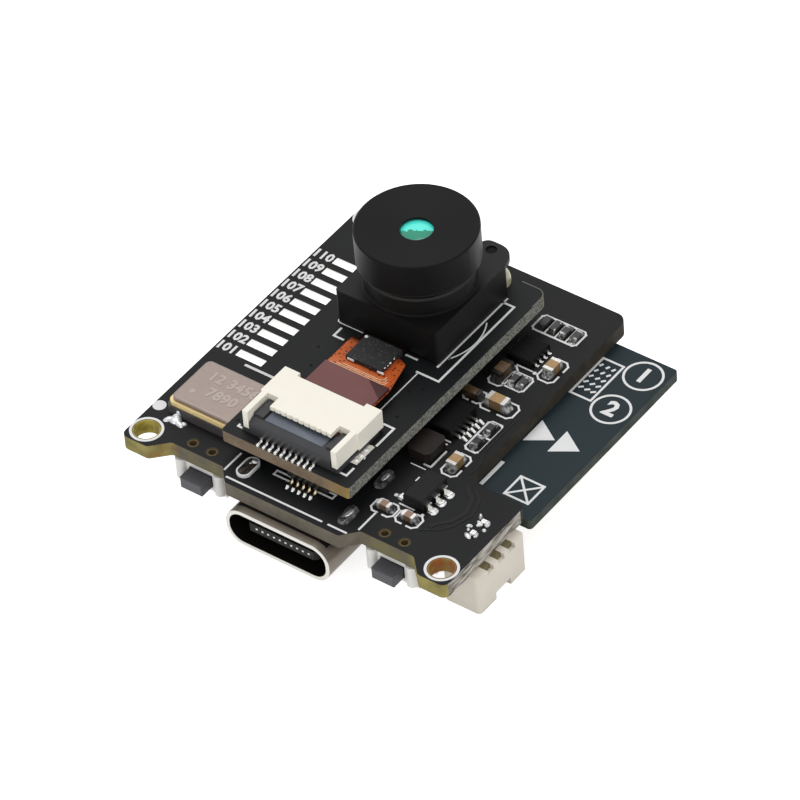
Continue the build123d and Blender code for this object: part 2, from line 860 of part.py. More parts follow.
def holder_ear():
    """The rounded ear at the holder's far right corner, with its small hole."""
    right = holder_x + holder_width / 2 - ear_inset
    left = right - ear_side
    root = holder_far_y - holder_wall / 2
    tip = holder_far_y + ear_length
    outline = rounded_face([(left, root, 0), (right, root, 0), (right, tip, ear_round),
                            (left, tip, ear_left_round)])
    ear = Pos(0, 0, holder_top - ear_drop - ear_thickness) * extrude(outline, ear_thickness)
    hole = Pos(left + ear_hole_from_left, holder_far_y + ear_length / 2, holder_top)
    return ear - hole * Cylinder(ear_hole_radius, ear_thickness * 4)


def camera_holder():
    """The square holder with its round collar, open below over the sensor board."""
    x0 = holder_x - holder_width / 2
    x1 = holder_x + holder_width / 2
    body = block(x0, x1, holder_near_y, holder_far_y, camera_top, holder_top)
    body = fillet(body.edges().filter_by(Axis.Z), holder_corner)
    body += holder_ear()
    body += Pos(holder_mid[0], holder_mid[1], holder_top + collar_height / 2) * Cylinder(
        collar_radius, collar_height)
    rim = body.edges().group_by(Axis.Z)[-1]
    body = chamfer(rim, collar_chamfer)
    body -= block(x0 + holder_wall, x1 - holder_wall, holder_near_y + holder_wall,
                  holder_far_y - holder_wall, camera_top - 1, filter_top)
    body -= Pos(holder_mid[0], holder_mid[1], collar_top) * Cylinder(
        stem_radius + stem_play, collar_height * 4)
    half = flex_width / 2 + trough_play
    body -= block(connector_x - half, connector_x + half, holder_near_y - 1,
                  holder_near_y + holder_wall * 2, camera_top - 1,
                  flex_end_z + flex_thickness + trough_play)
    return body


def lens_barrel():
    """A turned barrel: a stem under a wide cap, whose face is dished round the aperture."""
    glass_top = face_z - aperture_wall
    profile = [(barrel_bore, barrel_bottom), (stem_radius, barrel_bottom),
               (stem_radius, cap_bottom), (cap_radius - cap_bevel / 2, cap_bottom),
               (cap_radius, cap_bottom + cap_bevel / 2), (cap_radius, cap_top - cap_bevel),
               (cap_radius - cap_bevel, cap_top), (cap_radius - cap_rim, cap_top),
               (aperture_radius, face_z), (aperture_radius, glass_top), (barrel_bore, glass_top)]
    turned = revolve(Plane.XZ * make_face(Polyline(*profile, close=True)), Axis.Z)
    return Pos(holder_mid[0], holder_mid[1], 0) * turned


def front_glass():
    """The front lens: a short cylinder with a domed top just under the aperture."""
    x, y = holder_mid
    radius = barrel_bore - glass_play
    edge_top = face_z - aperture_wall - front_glass_dome - glass_play
    edge = Pos(x, y, edge_top - front_glass_edge / 2) * Cylinder(radius, front_glass_edge)
    ball = (radius * radius + front_glass_dome * front_glass_dome) / (2 * front_glass_dome)
    dome = Pos(x, y, edge_top + front_glass_dome - ball) * Sphere(ball)
    cut = Pos(x, y, edge_top + front_glass_dome / 2) * Cylinder(radius, front_glass_dome)
    return edge + (dome & cut)


def rear_glass():
    x, y = holder_mid
    radius = barrel_bore - glass_play
    place = Pos(x, y, barrel_bottom + rear_glass_thickness / 2 + 0.3)
    return place * Cylinder(radius, rear_glass_thickness)


def infrared_filter():
    """A flat glass glued under the holder's roof."""
    width = holder_width - 2 * holder_wall - 2 * sensor_board_margin
    depth = holder_depth - 2 * holder_wall - 2 * sensor_board_margin
    return standing(holder_mid, (width, depth, filter_thickness), filter_top - filter_thickness)


def sensor_board():
    width = holder_width - 2 * holder_wall - 2 * sensor_board_margin
    depth = holder_depth - 2 * holder_wall - 2 * sensor_board_margin
    return standing(holder_mid, (width, depth, sensor_board_thickness), camera_top)


def image_sensor():
    size = (sensor_size, sensor_size, sensor_height)
    return standing(holder_mid, size, camera_top + sensor_board_thickness)


def camera_glue():
    """A drop of pale glue behind the holder, at the camera board's far edge."""
    x = holder_x + holder_width / 2 - glue_from_side
    wide, deep, high = glue_size
    y = holder_far_y + glue_from_wall
    drop = Pos(x, y, camera_top) * scale(Sphere(1), by=(wide, deep, high))
    return drop & block(x - wide, x + wide, holder_far_y, y + deep,
                        camera_top, camera_top + high)


def chip_body(place, size):
    body = standing(place, (size[0], size[1], size[2] - chip_standoff), chip_standoff)
    return chamfer(body.edges().group_by(Axis.Z)[-1], 0.08)


def chip_leads(place, size, lead, pitch, counts):
    """Leads on the left and right sides of a chip."""
    width, reach, thickness, rise = lead
    one = gull_lead(width, reach, reach * 0.6, rise, thickness)
    leads = []
    for side, count in zip((-1, 1), counts):
        x = place[0] + side * size[0] / 2
        span = pitch * (max(counts) - 1)
        for index in range(count):
            y = place[1] - span / 2 + index * span / max(count - 1, 1)
            turn = Rot(0, 0, 0 if side > 0 else 180)
            leads.append(Pos(x, y, 0) * turn * one)
    return group(leads)


def two_pole_parts():
    """Every small two-pole part as (place, size, end length, turned along Y)."""
    caps = [(place, ceramic_cap_size, cap_end, False) for place in tall_caps_along_x]
    caps += [(place, ceramic_cap_size, cap_end, True) for place in tall_caps_along_y]
    caps += [(place, medium_cap_size, cap_end * 0.8, True) for place in medium_caps_along_y]
    caps += [(place, small_cap_size, cap_end * 0.7, False) for place in small_caps_along_x]
    row = [(resistor_row_x + index * resistor_row_step, resistor_row_y)
           for index in range(resistor_row_count)]
    resistors = [(place, resistor_size, resistor_end, True) for place in resistors_along_y + row]
    return caps, resistors


def middles_and_ends(parts):
    middles = []
    ends = []
    for place, size, end, turned in parts:
        length, width, height = size
        turn = Pos(place[0], place[1], height / 2) * Rot(0, 0, 90 if turned else 0)
        middles.append(turn * Box(length - 2 * end, width, height))
        for side in (-1, 1):
            ends.append(turn * Pos(side * (length - end) / 2, 0, 0) * Box(end, width, height))
    return group(middles), group(ends)


def inductor():
    body = standing(inductor_place, inductor_size, 0)
    return chamfer(body.edges().filter_by(Axis.Z), inductor_corner)


def build():
    caps, resistors = two_pole_parts()
    cap_middles, cap_ends = middles_and_ends(caps)
    resistor_middles, resistor_ends = middles_and_ends(resistors)
    return {
        "main_board": main_board(),
        "camera_board": camera_board(),
        "stack_socket": stack_socket(),
        "stack_plug": stack_plug(),
        "stack_leads": stack_leads(),
        "oscillator_base": oscillator_base(),
        "oscillator_ring": oscillator_ring(),
        "oscillator_lid": oscillator_lid(),
        "usb_shell": usb_shell(),
        "usb_tongue": usb_tongue(),
        "usb_contacts": usb_contacts(),
        "usb_solder": usb_solder(),
        "left_switch_body": switch_body(-1),
        "right_switch_body": switch_body(1),
        "left_switch_cover": switch_cover(-1),
        "right_switch_cover": switch_cover(1),
        "left_switch_plunger": switch_plunger(-1),
        "right_switch_plunger": switch_plunger(1),
        "wire_socket_housing": wire_socket_housing(),
        "wire_socket_pins": wire_socket_pins(),
        "wire_socket_solder": wire_socket_solder(),
        "radio_board": radio_board(),
        "radio_shield": radio_shield(),
        "radio_chip": radio_chip(),
        "radio_antenna": radio_antenna(),
        "flex_housing": flex_housing(),
        "flex_contacts": flex_contacts(),
        "flex_solder_tabs": flex_solder_tabs(),
        "flex_slider": flex_slider(),
        "camera_flex": camera_flex(),
        "flex_stiffener": flex_stiffener(),
        "flex_chip": flex_chip(),
        "camera_holder": camera_holder(),
        "lens_barrel": lens_barrel(),
        "front_glass": front_glass(),
        "rear_glass": rear_glass(),
        "infrared_filter": infrared_filter(),
        "sensor_board": sensor_board(),
        "image_sensor": image_sensor(),
        "camera_glue": camera_glue(),
        "inductor": inductor(),
        "capacitor_bodies": cap_middles,
        "capacitor_ends": cap_ends,
        "resistor_bodies": resistor_middles,
        "resistor_ends": resistor_ends,
        "regulator_body": chip_body(regulator_place, regulator_size),
        "regulator_leads": chip_leads(regulator_place, regulator_size, regulator_lead,
                                      regulator_pitch, (2, 3)),
        "charger_body": chip_body(charger_place, charger_size),
        "charger_leads": chip_leads(charger_place, charger_size, charger_lead, chip_pitch, (5, 5)),
        "logic_body": chip_body(logic_place, logic_size),
        "logic_leads": chip_leads(logic_place, logic_size, logic_lead, chip_pitch, (4, 4)),
    }


os.makedirs("parts", exist_ok=True)
for name, shape in build().items():
    export_step(shape, f"parts/{name}.step")
    print(name, len(shape.solids()), round(shape.volume, 3))
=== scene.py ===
# %% [markdown]
# # A small camera module
# A main circuit board carries a USB-C socket, two side buttons, a wire socket and, underneath,
# a radio module. A second board is stacked on top of it, with a flex connector and a small
# camera. The solid model is loaded first and stays as it is. This script gives every solid its
# finish, and models what is too fine for the solids, such as the white print, the pads and the
# solder.

from math import atan2, cos, radians, sin

import bmesh
import bpy
from mathutils import Matrix, Vector


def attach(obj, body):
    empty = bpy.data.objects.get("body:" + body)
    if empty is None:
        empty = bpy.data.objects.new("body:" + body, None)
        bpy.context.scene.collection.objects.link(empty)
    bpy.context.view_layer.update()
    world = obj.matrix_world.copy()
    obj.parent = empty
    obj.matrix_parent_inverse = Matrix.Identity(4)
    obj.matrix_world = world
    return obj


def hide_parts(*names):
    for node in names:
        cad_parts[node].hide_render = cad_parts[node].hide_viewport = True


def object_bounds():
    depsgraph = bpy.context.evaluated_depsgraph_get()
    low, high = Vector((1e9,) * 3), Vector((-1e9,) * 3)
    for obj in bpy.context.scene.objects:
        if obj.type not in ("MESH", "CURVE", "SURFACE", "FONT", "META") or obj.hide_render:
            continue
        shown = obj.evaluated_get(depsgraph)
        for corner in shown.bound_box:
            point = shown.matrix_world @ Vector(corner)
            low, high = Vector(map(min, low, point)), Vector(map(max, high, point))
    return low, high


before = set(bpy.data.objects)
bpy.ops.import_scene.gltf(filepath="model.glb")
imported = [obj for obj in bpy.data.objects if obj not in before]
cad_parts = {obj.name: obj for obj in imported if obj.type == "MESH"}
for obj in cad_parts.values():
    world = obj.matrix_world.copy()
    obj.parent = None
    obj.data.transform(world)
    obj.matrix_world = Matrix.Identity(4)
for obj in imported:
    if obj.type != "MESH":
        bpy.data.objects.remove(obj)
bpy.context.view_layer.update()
print(len(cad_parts), "solids loaded")

# %% [markdown]
# The camera repeats the viewpoint of a product picture: a long lens, a little under half a metre
# away, looking down at 43 degrees from the USB edge's right side. The picture is turned by five
# degrees, so the camera's own axes are given instead of a target.

# %% Camera
MM = 0.001
eye = Vector((197.44, -225.03, 287.78)) * MM
right = Vector((0.8043, 0.5906, -0.0642))
up = Vector((-0.3671, 0.5790, 0.7280))
back = right.cross(up)
lens = bpy.data.cameras.new("camera")
lens.sensor_width = 36
lens.lens = 271.6
lens.clip_start = 0.01
lens.clip_end = 10
camera = bpy.data.objects.new("camera", lens)
bpy.context.scene.collection.objects.link(camera)
turn = Matrix((right, up, back)).transposed()
camera.matrix_world = Matrix.Translation(eye) @ turn.to_4x4()
bpy.context.scene.camera = camera
print("camera", round(eye.length, 3), "m from the front holes")

# %% [markdown]
# Pieces are modelled in millimetres, one Blender unit to a millimetre, because many of them are
# thinner than a hair and Blender's tools work best on sizes near one. The last step of every
# piece shrinks it to metres and names the solid body that it rides on.

# %% Helpers for modelling


def begin():
    """Leaves edit mode and deselects everything, so that the next operator meets one piece."""
    if bpy.context.mode != "OBJECT":
        bpy.ops.object.mode_set(mode="OBJECT")
    bpy.ops.object.select_all(action="DESELECT")


def choose(piece):
    begin()
    piece.select_set(True)
    bpy.context.view_layer.objects.active = piece


def edit(piece):
    choose(piece)
    bpy.ops.object.mode_set(mode="EDIT")
    bpy.ops.mesh.select_all(action="SELECT")


def pick(kind, test):
    """In edit mode, selects the vertices, edges or faces that pass a test."""
    bpy.ops.mesh.select_mode(type=kind)
    bpy.ops.mesh.select_all(action="DESELECT")
    mesh = bpy.context.object.data
    shape = bmesh.from_edit_mesh(mesh)
    for part in {"VERT": shape.verts, "EDGE": shape.edges, "FACE": shape.faces}[kind]:
        part.select_set(bool(test(part)))
    shape.select_flush_mode()
    bmesh.update_edit_mesh(mesh)


def apply_place(piece):
    choose(piece)
    bpy.ops.object.transform_apply(location=True, rotation=True, scale=True)


def block(x0, x1, y0, y1, z0, z1):
    """A cube stretched between two corners."""
    begin()
    bpy.ops.mesh.primitive_cube_add(size=1)
    piece = bpy.context.object
    piece.location = ((x0 + x1) / 2, (y0 + y1) / 2, (z0 + z1) / 2)
    piece.scale = (x1 - x0, y1 - y0, z1 - z0)
    apply_place(piece)
    return piece


def is_upright(edge):
    """True for an edge that runs along Z."""
    one, two = [vertex.co for vertex in edge.verts]
    return abs(one.x - two.x) + abs(one.y - two.y) < 1e-6


def plate(x0, x1, y0, y1, z0, z1, corner, rim=0.0):
    """A flat piece with rounded corners and, if asked, a softened upper rim."""
    piece = block(x0, x1, y0, y1, z0, z1)
    edit(piece)
    pick("EDGE", is_upright)
    bpy.ops.mesh.bevel(offset=corner, segments=4)
    if rim:
        pick("FACE", lambda face: face.normal.z > 0.9)
        bpy.ops.mesh.inset(thickness=rim)
        bpy.ops.transform.translate(value=(0, 0, rim * 0.6))
    begin()
    return piece


def copy_of(piece, place):
    """A copy with its own mesh, moved by a matrix."""
    twin = piece.copy()
    twin.data = piece.data.copy()
    twin.data.transform(place)
    bpy.context.scene.collection.objects.link(twin)
    return twin


def remove(piece):
    bpy.data.objects.remove(piece)


def joined(pieces, name):
    begin()
    for piece in pieces:
        piece.select_set(True)
    bpy.context.view_layer.objects.active = pieces[0]
    bpy.ops.object.join()
    pieces[0].name = name
    return pieces[0]


made = []


def finish(piece, name, body="body", smooth=40):
    """Shrinks a piece to metres, smooths it, and lets it ride on a body of the solid model."""
    piece.name = name
    piece.data.name = name
    piece.scale = (MM, MM, MM)
    apply_place(piece)
    bpy.ops.object.shade_smooth_by_angle(angle=radians(smooth))
    begin()
    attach(piece, body)
    made.append(piece)
    print(name, len(piece.data.polygons), "faces")
    return piece


# %% [markdown]
# White print is a film of ink about two hundredths of a millimetre thick. It could be painted in
# a material, but real strokes of that thickness keep their sharp edge from any distance. One
# short bar is modelled once, and each stroke is a copy that is stretched, turned and laid down.
# Where two strokes meet, one is a little lower, because two faces at the same height flicker.

# %% Strokes, paths and frames
INK = 0.02
LOWER = 0.003
bar = block(-0.5, 0.5, -0.5, 0.5, 0, 1)
edit(bar)
pick("FACE", lambda face: face.normal.z > 0.9)
bpy.ops.mesh.inset(thickness=0.08)
begin()


def stroke(start, end, width=0.15, z=0.0, height=INK):
    """A bar from one (x, y) point to another, at height z, with ends that reach a little past."""
    run = Vector(end) - Vector(start)
    middle = (Vector(end) + Vector(start)) / 2
    place = Matrix.Translation((middle.x, middle.y, z))
    spin = Matrix.Rotation(atan2(run.y, run.x), 4, "Z")
    size = Matrix.Diagonal((run.length + width * 0.9, width, height, 1))
    return copy_of(bar, place @ spin @ size)


def path(points, width=0.15, z=0.0, height=INK):
    """Strokes from point to point, every other one a little lower, so that no two tops meet."""
    strokes = []
    for index, (start, end) in enumerate(zip(points, points[1:])):
        strokes.append(stroke(start, end, width, z, height - LOWER * (index % 2)))
    return strokes


def outline(x0, x1, y0, y1, width=0.15, z=0.0, height=INK, cut=0.0):
    """A printed frame, with cut corners if asked."""
    corners = [(x0 + cut, y0), (x1 - cut, y0), (x1, y0 + cut), (x1, y1 - cut), (x1 - cut, y1),
               (x0 + cut, y1), (x0, y1 - cut), (x0, y0 + cut), (x0 + cut, y0)]
    if not cut:
        corners = corners[::2]
    return path(corners, width, z, height)


# %% [markdown]
# Round print starts from a circle of edges, which is extruded outwards into a flat ring and then
# upwards. A curve with a bevel would give a ring too, but a round one instead of a flat one. A
# slot's outline is a ring whose halves are drawn apart, and an arc is one side of a ring.

# %% Rings, slot outlines and arcs


def ring(x, y, inner, outer, z=0.0, height=INK, steps=48):
    """A flat ring: a circle of edges, extruded outwards, then upwards."""
    begin()
    bpy.ops.mesh.primitive_circle_add(vertices=steps, radius=inner, location=(x, y, z))
    piece = bpy.context.object
    apply_place(piece)
    edit(piece)
    bpy.ops.mesh.extrude_edges_move()
    grow = outer / inner
    bpy.ops.transform.resize(value=(grow, grow, 1), center_override=(x, y, z))
    bpy.ops.mesh.select_all(action="SELECT")
    bpy.ops.mesh.extrude_region_move(TRANSFORM_OT_translate={"value": (0, 0, height)})
    bpy.ops.mesh.select_all(action="SELECT")
    bpy.ops.mesh.normals_make_consistent(inside=False)
    begin()
    return piece


def oval(x, y, wide, long, width, z=0.0, height=INK):
    """A ring drawn out along Y into a slot's outline."""
    piece = ring(x, y, wide / 2 - width, wide / 2, z, height)
    stretch = (long - wide) / 2
    edit(piece)
    pick("VERT", lambda vertex: vertex.co.y > y + 1e-4)
    bpy.ops.transform.translate(value=(0, stretch, 0))
    pick("VERT", lambda vertex: vertex.co.y < y - 1e-4)
    bpy.ops.transform.translate(value=(0, -stretch, 0))
    begin()
    return piece


def arc(x, y, radius, start, end, width=0.15, z=0.0):
    """A curved stroke: the part of a ring that faces the way between two angles in degrees."""
    piece = ring(x, y, radius - width / 2, radius + width / 2, z, INK, 120)
    middle = radians((start + end) / 2)
    facing = Vector((cos(middle), sin(middle)))
    reach = radius * cos(radians(end - start) / 2)
    edit(piece)
    pick("VERT", lambda vertex: facing.dot(vertex.co.xy - Vector((x, y))) < reach)
    bpy.ops.mesh.delete(type="VERT")
    begin()
    return piece


# %% [markdown]
# The other shapes of the print are brackets round a small part, numbers, triangles and dots. A
# number is a text object that is made a mesh. A dot is a stretched copy of one stud, a short
# cylinder with a softened rim, which also serves for plated holes, a plug and other small discs.

# %% Brackets, numbers, dots and triangles


def brackets(x, y, long, wide, width, z=0.0, along_x=True):
    """Two printed brackets with cut corners, one round each end of a small part."""
    half = wide / 2
    end = long / 2
    cut = wide * 0.22
    gap = end * 0.25
    side = [(gap, half), (end - cut, half), (end, half - cut), (end, cut - half), (end - cut, -half),
            (gap, -half)]
    strokes = []
    for turn in (1, -1):
        corners = [(turn * run, turn * rise) for run, rise in side]
        if not along_x:
            corners = [(-rise, run) for run, rise in corners]
        strokes += path([(x + run, y + rise) for run, rise in corners], width, z)
    return strokes


BOLDER = 0.035


def number(value, x, y, size, z=0.0, align="CENTER"):
    """A plain number with slightly thickened digits, its middle or right end at (x, y)."""
    begin()
    bpy.ops.object.text_add()
    text = bpy.context.object
    text.data.body = str(value)
    text.data.size = size
    text.data.offset = size * BOLDER
    text.data.extrude = INK / 2
    text.data.resolution_u = 2
    text.data.align_x = align
    text.data.align_y = "CENTER"
    text.location = (x, y, z + INK / 2)
    bpy.ops.object.convert(target="MESH")
    piece = bpy.context.object
    apply_place(piece)
    return piece


def make_stud():
    """A short cylinder with a softened rim, one unit wide, to be copied."""
    begin()
    bpy.ops.mesh.primitive_cylinder_add(vertices=28, radius=0.5, depth=1, location=(0, 0, 0.5))
    piece = bpy.context.object
    apply_place(piece)
    edit(piece)
    pick("FACE", lambda face: face.normal.z > 0.9)
    bpy.ops.mesh.inset(thickness=0.07)
    bpy.ops.transform.translate(value=(0, 0, 0.12))
    begin()
    return piece


def laid(base, x, y, z, size, spin=0.0):
    """A copy of a base shape, stretched to a size, turned in degrees and put at (x, y, z)."""
    place = Matrix.Translation((x, y, z)) @ Matrix.Rotation(radians(spin), 4, "Z")
    return copy_of(base, place @ Matrix.Diagonal((*size, 1)))


def triangle(corners, z):
    """A flat printed triangle: a three-sided disc whose corners are moved into place."""
    begin()
    bpy.ops.mesh.primitive_circle_add(vertices=3, radius=1, fill_type="NGON")
    piece = bpy.context.object
    starts = [vertex.co.copy() for vertex in piece.data.vertices]
    edit(piece)
    for index, corner in enumerate(corners):
        pick("VERT", lambda vertex: vertex.index == index)
        bpy.ops.transform.translate(value=Vector((*corner, z + INK)) - starts[index])
    bpy.ops.mesh.select_all(action="SELECT")
    bpy.ops.mesh.normals_make_consistent(inside=False)
    bpy.ops.mesh.extrude_region_move(TRANSFORM_OT_translate={"value": (0, 0, -INK)})
    bpy.ops.mesh.select_all(action="SELECT")
    bpy.ops.mesh.normals_make_consistent(inside=False)
    begin()
    return piece


stud = make_stud()
print("base shapes:", bar.name, "and", stud.name)

# %% [markdown]
# The main board's print has a ring round each mounting hole, the outline of the USB socket, two
# small marks at the stacking connector, and plain numbers beside the ten pads of the left edge.
# Digits could be drawn from strokes, but a font gives them better curves.

# %% Print round the holes, the pads and the USB socket
HOLES = [(-12.75, 0.0), (12.75, 0.0), (-12.75, 26.2)]
PADS = 10
FIRST_NUMBER = 101
PAD_PITCH = 1.27
PAD_FIRST_Y = 9.4
PAD_WIDTH = 0.68
SLOTS = [(-4.32, 0.68), (4.32, 0.68), (-4.32, 4.86), (4.32, 4.86)]

main_print = [ring(x, y, 1.04, 1.24) for x, y in HOLES]
main_print.append(oval(*SLOTS[0], 1.15, 2.05, 0.12, 0, 0.24))
for index in range(PADS):
    middle_y = PAD_FIRST_Y + PAD_PITCH * index + PAD_WIDTH / 2
    main_print.append(number(FIRST_NUMBER + index, -12.3, middle_y, 1.15, 0.0, "RIGHT"))
main_print.append(stroke((-10.85, 8.97), (-6.7, 8.97), 0.22))
main_print.append(laid(stud, -13.5, 2.43, 0, (1.0, 1.0, INK)))
main_print += path([(-5.1, -0.77), (3.1, -0.77)]) + path([(3.7, -0.77), (5.2, -0.77)])
main_print += path([(-5.67, -0.24), (-5.67, 1.6)]) + path([(5.75, 0.0), (5.75, 1.9)])
main_print += path([(-1.2, 1.2), (-2.5, 1.2), (-2.5, 1.62), (-1.2, 1.62)], 0.14)
main_print += path([(1.15, 1.42), (2.4, 1.42), (2.4, 1.84), (1.15, 1.84)], 0.14)
print(len(main_print), "shapes so far")

# %% [markdown]
# The small parts along the right side stand in printed frames, which guide the hand and the eye
# when a board is assembled. Resistors share a frame with a line between two neighbours,
# capacitors stand in brackets, and a dot marks a chip's first pin.

# %% Print round the small parts
FINE = 0.12
THIN_INK = 0.015
for x0, x1, y0, y1 in [(3.9, 7.65, 22.9, 24.55), (5.45, 7.25, 17.05, 18.65), (7.05, 8.25, 10.4, 13.6)]:
    main_print += outline(x0, x1, y0, y1, 0.16, cut=0.22)
for x, y, long, wide, along_x in [(6.0, 2.65, 1.85, 1.3, True), (8.05, 2.65, 1.85, 1.3, True),
                                  (7.65, 8.7, 2.3, 1.3, False), (7.8, 20.05, 2.4, 1.4, False),
                                  (5.05, 17.9, 2.3, 1.3, False), (6.75, 15.1, 2.8, 1.5, True),
                                  (4.65, 15.1, 1.6, 1.2, True)]:
    main_print += brackets(x, y, long, wide, 0.14, 0.0, along_x)
for x in (5.0, 5.9, 6.8):
    main_print.append(stroke((x, 22.9), (x, 24.55), FINE, 0, THIN_INK))
main_print.append(stroke((6.35, 17.05), (6.35, 18.65), FINE, 0, THIN_INK))
main_print.append(stroke((7.05, 12.0), (8.25, 12.0), 0.15, 0, THIN_INK))
for x0, x1, y in [(5.3, 6.6, 19.25), (5.2, 5.95, 10.35), (5.4, 5.9, 10.02), (6.6, 7.8, 3.55),
                  (6.7, 8.0, 6.75)]:
    main_print.append(stroke((x0, y), (x1, y), FINE))
main_print.append(stroke((4.9, 7.2), (6.1, 7.2), 0.08))
for x, y, wide in [(6.85, 19.2, 0.3), (5.9, 4.1, 0.3), (8.6, 3.45, 0.26)]:
    main_print.append(laid(stud, x, y, 0, (wide, wide, INK)))
finish(joined(main_print, "main_print"), "main_board_print")

# %% [markdown]
# The camera board's print is thicker: two long lines and a curved one beside the camera, and
# corners round the flex connector. A thin white line along the foot of the camera's holder is a
# painted highlight, made like the print. It lies on the upper board, so every shape is raised to
# the height of that board's face.

# %% Print on the camera board
TOP = 2.5
BOLD = 0.17
camera_print_and_highlight = [arc(-1.05, 17.35, 4.3, -34, 34, 0.1, TOP)]
camera_print_and_highlight.append(stroke((1.62, 8.3), (1.62, 12.7), 0.09, TOP))
# A painted highlight, not print: a thin pale line along the foot of the camera's holder.
camera_print_and_highlight.append(stroke((-6.1, 14.0), (-4.1, 14.0), 0.07, TOP))
for points in [[(2.4, 21.85), (3.35, 21.85), (3.35, 12.8), (1.5, 12.8)],
               [(2.42, 14.0), (2.42, 22.3)], [(-5.67, 13.55), (-5.67, 12.7), (-4.85, 12.7)],
               [(-0.15, 13.8), (0.75, 13.8)], [(-5.75, 1.9), (-5.75, 1.74), (-3.65, 1.74)],
               [(1.3, 1.8), (3.55, 1.8), (3.55, 2.6)], [(3.55, 5.3), (3.55, 7.3), (2.7, 7.3)],
               [(-5.75, 5.4), (-5.75, 7.3), (-5.0, 7.3)]]:
    camera_print_and_highlight += path(points, BOLD, TOP)
camera_print_and_highlight.append(laid(stud, -6.2, 14.25, TOP, (0.4, 0.5, INK)))
finish(joined(camera_print_and_highlight, "camera_print_and_highlight"), "camera_board_print")

# %% [markdown]
# The free end of the radio module carries larger print: plain numbers in rings, two arrowheads, a
# frame with dots and a crossed square. It is made of the same strokes and rings, one board lower.
# The lines of the cross lie a little lower, for the same reason as before.

# %% Print on the radio board
LOW = -1.2
radio_print = outline(9.25, 11.0, 20.0, 24.1, BOLD, LOW)
for value, y in [(1, 24.05), (2, 20.05)]:
    radio_print.append(ring(12.7, y, 1.32, 1.5, LOW))
    radio_print.append(number(value, 12.7, y, 2.0, LOW))
for index in range(5):
    y = 20.75 + 0.65 * index
    for x in (9.5, 10.05, 10.55):
        radio_print.append(stroke((x, y), (x + 0.2 - 0.03 * index, y + 0.16), 0.17, LOW))
for x in (9.3, 11.4):
    radio_print.append(triangle([(x, 16.6), (x + 1.9, 15.4), (x, 14.2)], LOW))
radio_print.append(stroke((9.4, 9.2), (9.4, 11.6), 0.3, LOW))
radio_print += outline(11.3, 13.3, 9.2, 11.2, BOLD, LOW)
radio_print.append(stroke((11.3, 9.2), (13.3, 11.2), BOLD, LOW, INK - 2 * LOWER))
radio_print.append(stroke((11.3, 11.2), (13.3, 9.2), BOLD, LOW, INK - 3 * LOWER))
finish(joined(radio_print, "radio_print"), "radio_board_print")

# %% [markdown]
# Ten wide pads line the left edge, tinned so evenly that they look white. One pad is a flat block
# with rounded corners and a softened rim, and the other nine are copies. An Array modifier would
# do the same, but a loop keeps the pitch in plain sight.

# %% Pads
PAD_HEIGHT = 0.03
pads = [plate(-12.14, -9.84, PAD_FIRST_Y, PAD_FIRST_Y + PAD_WIDTH, 0, PAD_HEIGHT, 0.03, 0.02)]
for index in range(1, PADS):
    pads.append(copy_of(pads[0], Matrix.Translation((0, PAD_PITCH * index, 0))))
finish(joined(pads, "pads"), "edge_pads")

# %% [markdown]
# Solder freezes as it wets its pad. It could be simulated as a liquid, but two small shapes and
# some patience give the same look. One is a drop: a ball whose lower half is pressed flat and
# spread into a skirt. The other is a toe, the slope that solder makes at the end of a part.

# %% A drop and a toe of solder


def make_drop():
    """A drop of solder, one unit wide and half as high."""
    begin()
    bpy.ops.mesh.primitive_uv_sphere_add(segments=18, ring_count=10, radius=0.5)
    piece = bpy.context.object
    edit(piece)
    pick("VERT", lambda vertex: vertex.co.z < -0.01)
    bpy.ops.transform.resize(value=(1.15, 1.15, 0), center_override=(0, 0, 0))
    begin()
    return piece


def make_toe():
    """A toe of solder, one unit wide, deep and high, that slopes down towards +Y."""
    piece = block(-0.5, 0.5, 0, 1, 0, 1)
    edit(piece)
    bpy.ops.mesh.subdivide(number_cuts=4)
    for step in range(1, 6):
        y = step / 5
        pick("VERT", lambda vertex: abs(vertex.co.y - y) < 0.01)
        fall = (1 - y) ** 1.5 + 0.05
        bpy.ops.transform.resize(value=(1 - 0.3 * y * y, 1, fall), center_override=(0, y, 0))
    begin()
    return piece


drop = make_drop()
toe = make_toe()
print("solder shapes:", drop.name, "and", toe.name)

# %% [markdown]
# By the oscillator the solder froze in a forked splash, and on each pair of the wire socket's
# pins it stands in a lumpy cluster. Every lump is a stretched and turned copy of the drop. The
# clusters take the place of the plain joints of the solid model.

# %% Splash and pin solder
joints = []
splash = [(-12.0, 1.7, 1.05, 0.5, 0.42, 52), (-11.2, 1.66, 1.05, 0.5, 0.4, -18),
          (-11.6, 1.8, 1.0, 0.8, 0.5, 10), (-11.6, 1.98, 0.7, 0.5, 0.95, 10),
          (-11.55, 2.14, 0.5, 0.3, 1.35, 0), (-10.85, 1.78, 0.5, 0.34, 0.4, 30)]
cluster = [(12.38, 3.5, 0.62, 0.3, 0.3, -25), (12.84, 3.82, 0.46, 0.3, 0.42, 100),
           (11.95, 4.32, 0.42, 0.26, 0.34, 30), (12.1, 3.98, 0.22, 0.2, 0.3, 0),
           (12.5, 4.85, 0.6, 0.3, 0.4, 60), (12.2, 5.32, 0.26, 0.24, 1.0, 10),
           (12.9, 5.12, 0.55, 0.34, 0.5, 110), (13.05, 4.5, 0.3, 0.24, 0.3, 0),
           (12.3, 4.95, 0.36, 0.2, 0.3, -20)]
for x, y, long, wide, high, spin in splash:
    joints.append(laid(drop, x, y, 0, (long, wide, high), spin))
wetted = [laid(drop, x, y, 0, (long * 1.15, wide * 1.25, high), spin)
          for x, y, long, wide, high, spin in cluster]
for y in (3.775, 5.025):
    wetted.append(laid(drop, 12.68, y, 0, (0.4, 0.36, 0.66)))
pin_solder = finish(joined(wetted, "wetted"), "pin_solder", "body", 60)
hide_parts("wire_socket_solder")

# %% [markdown]
# A toe of solder slopes down from both ends of every capacitor and resistor. The lists give each
# part's middle, the distance from there to its end, and the width and height of its toes.

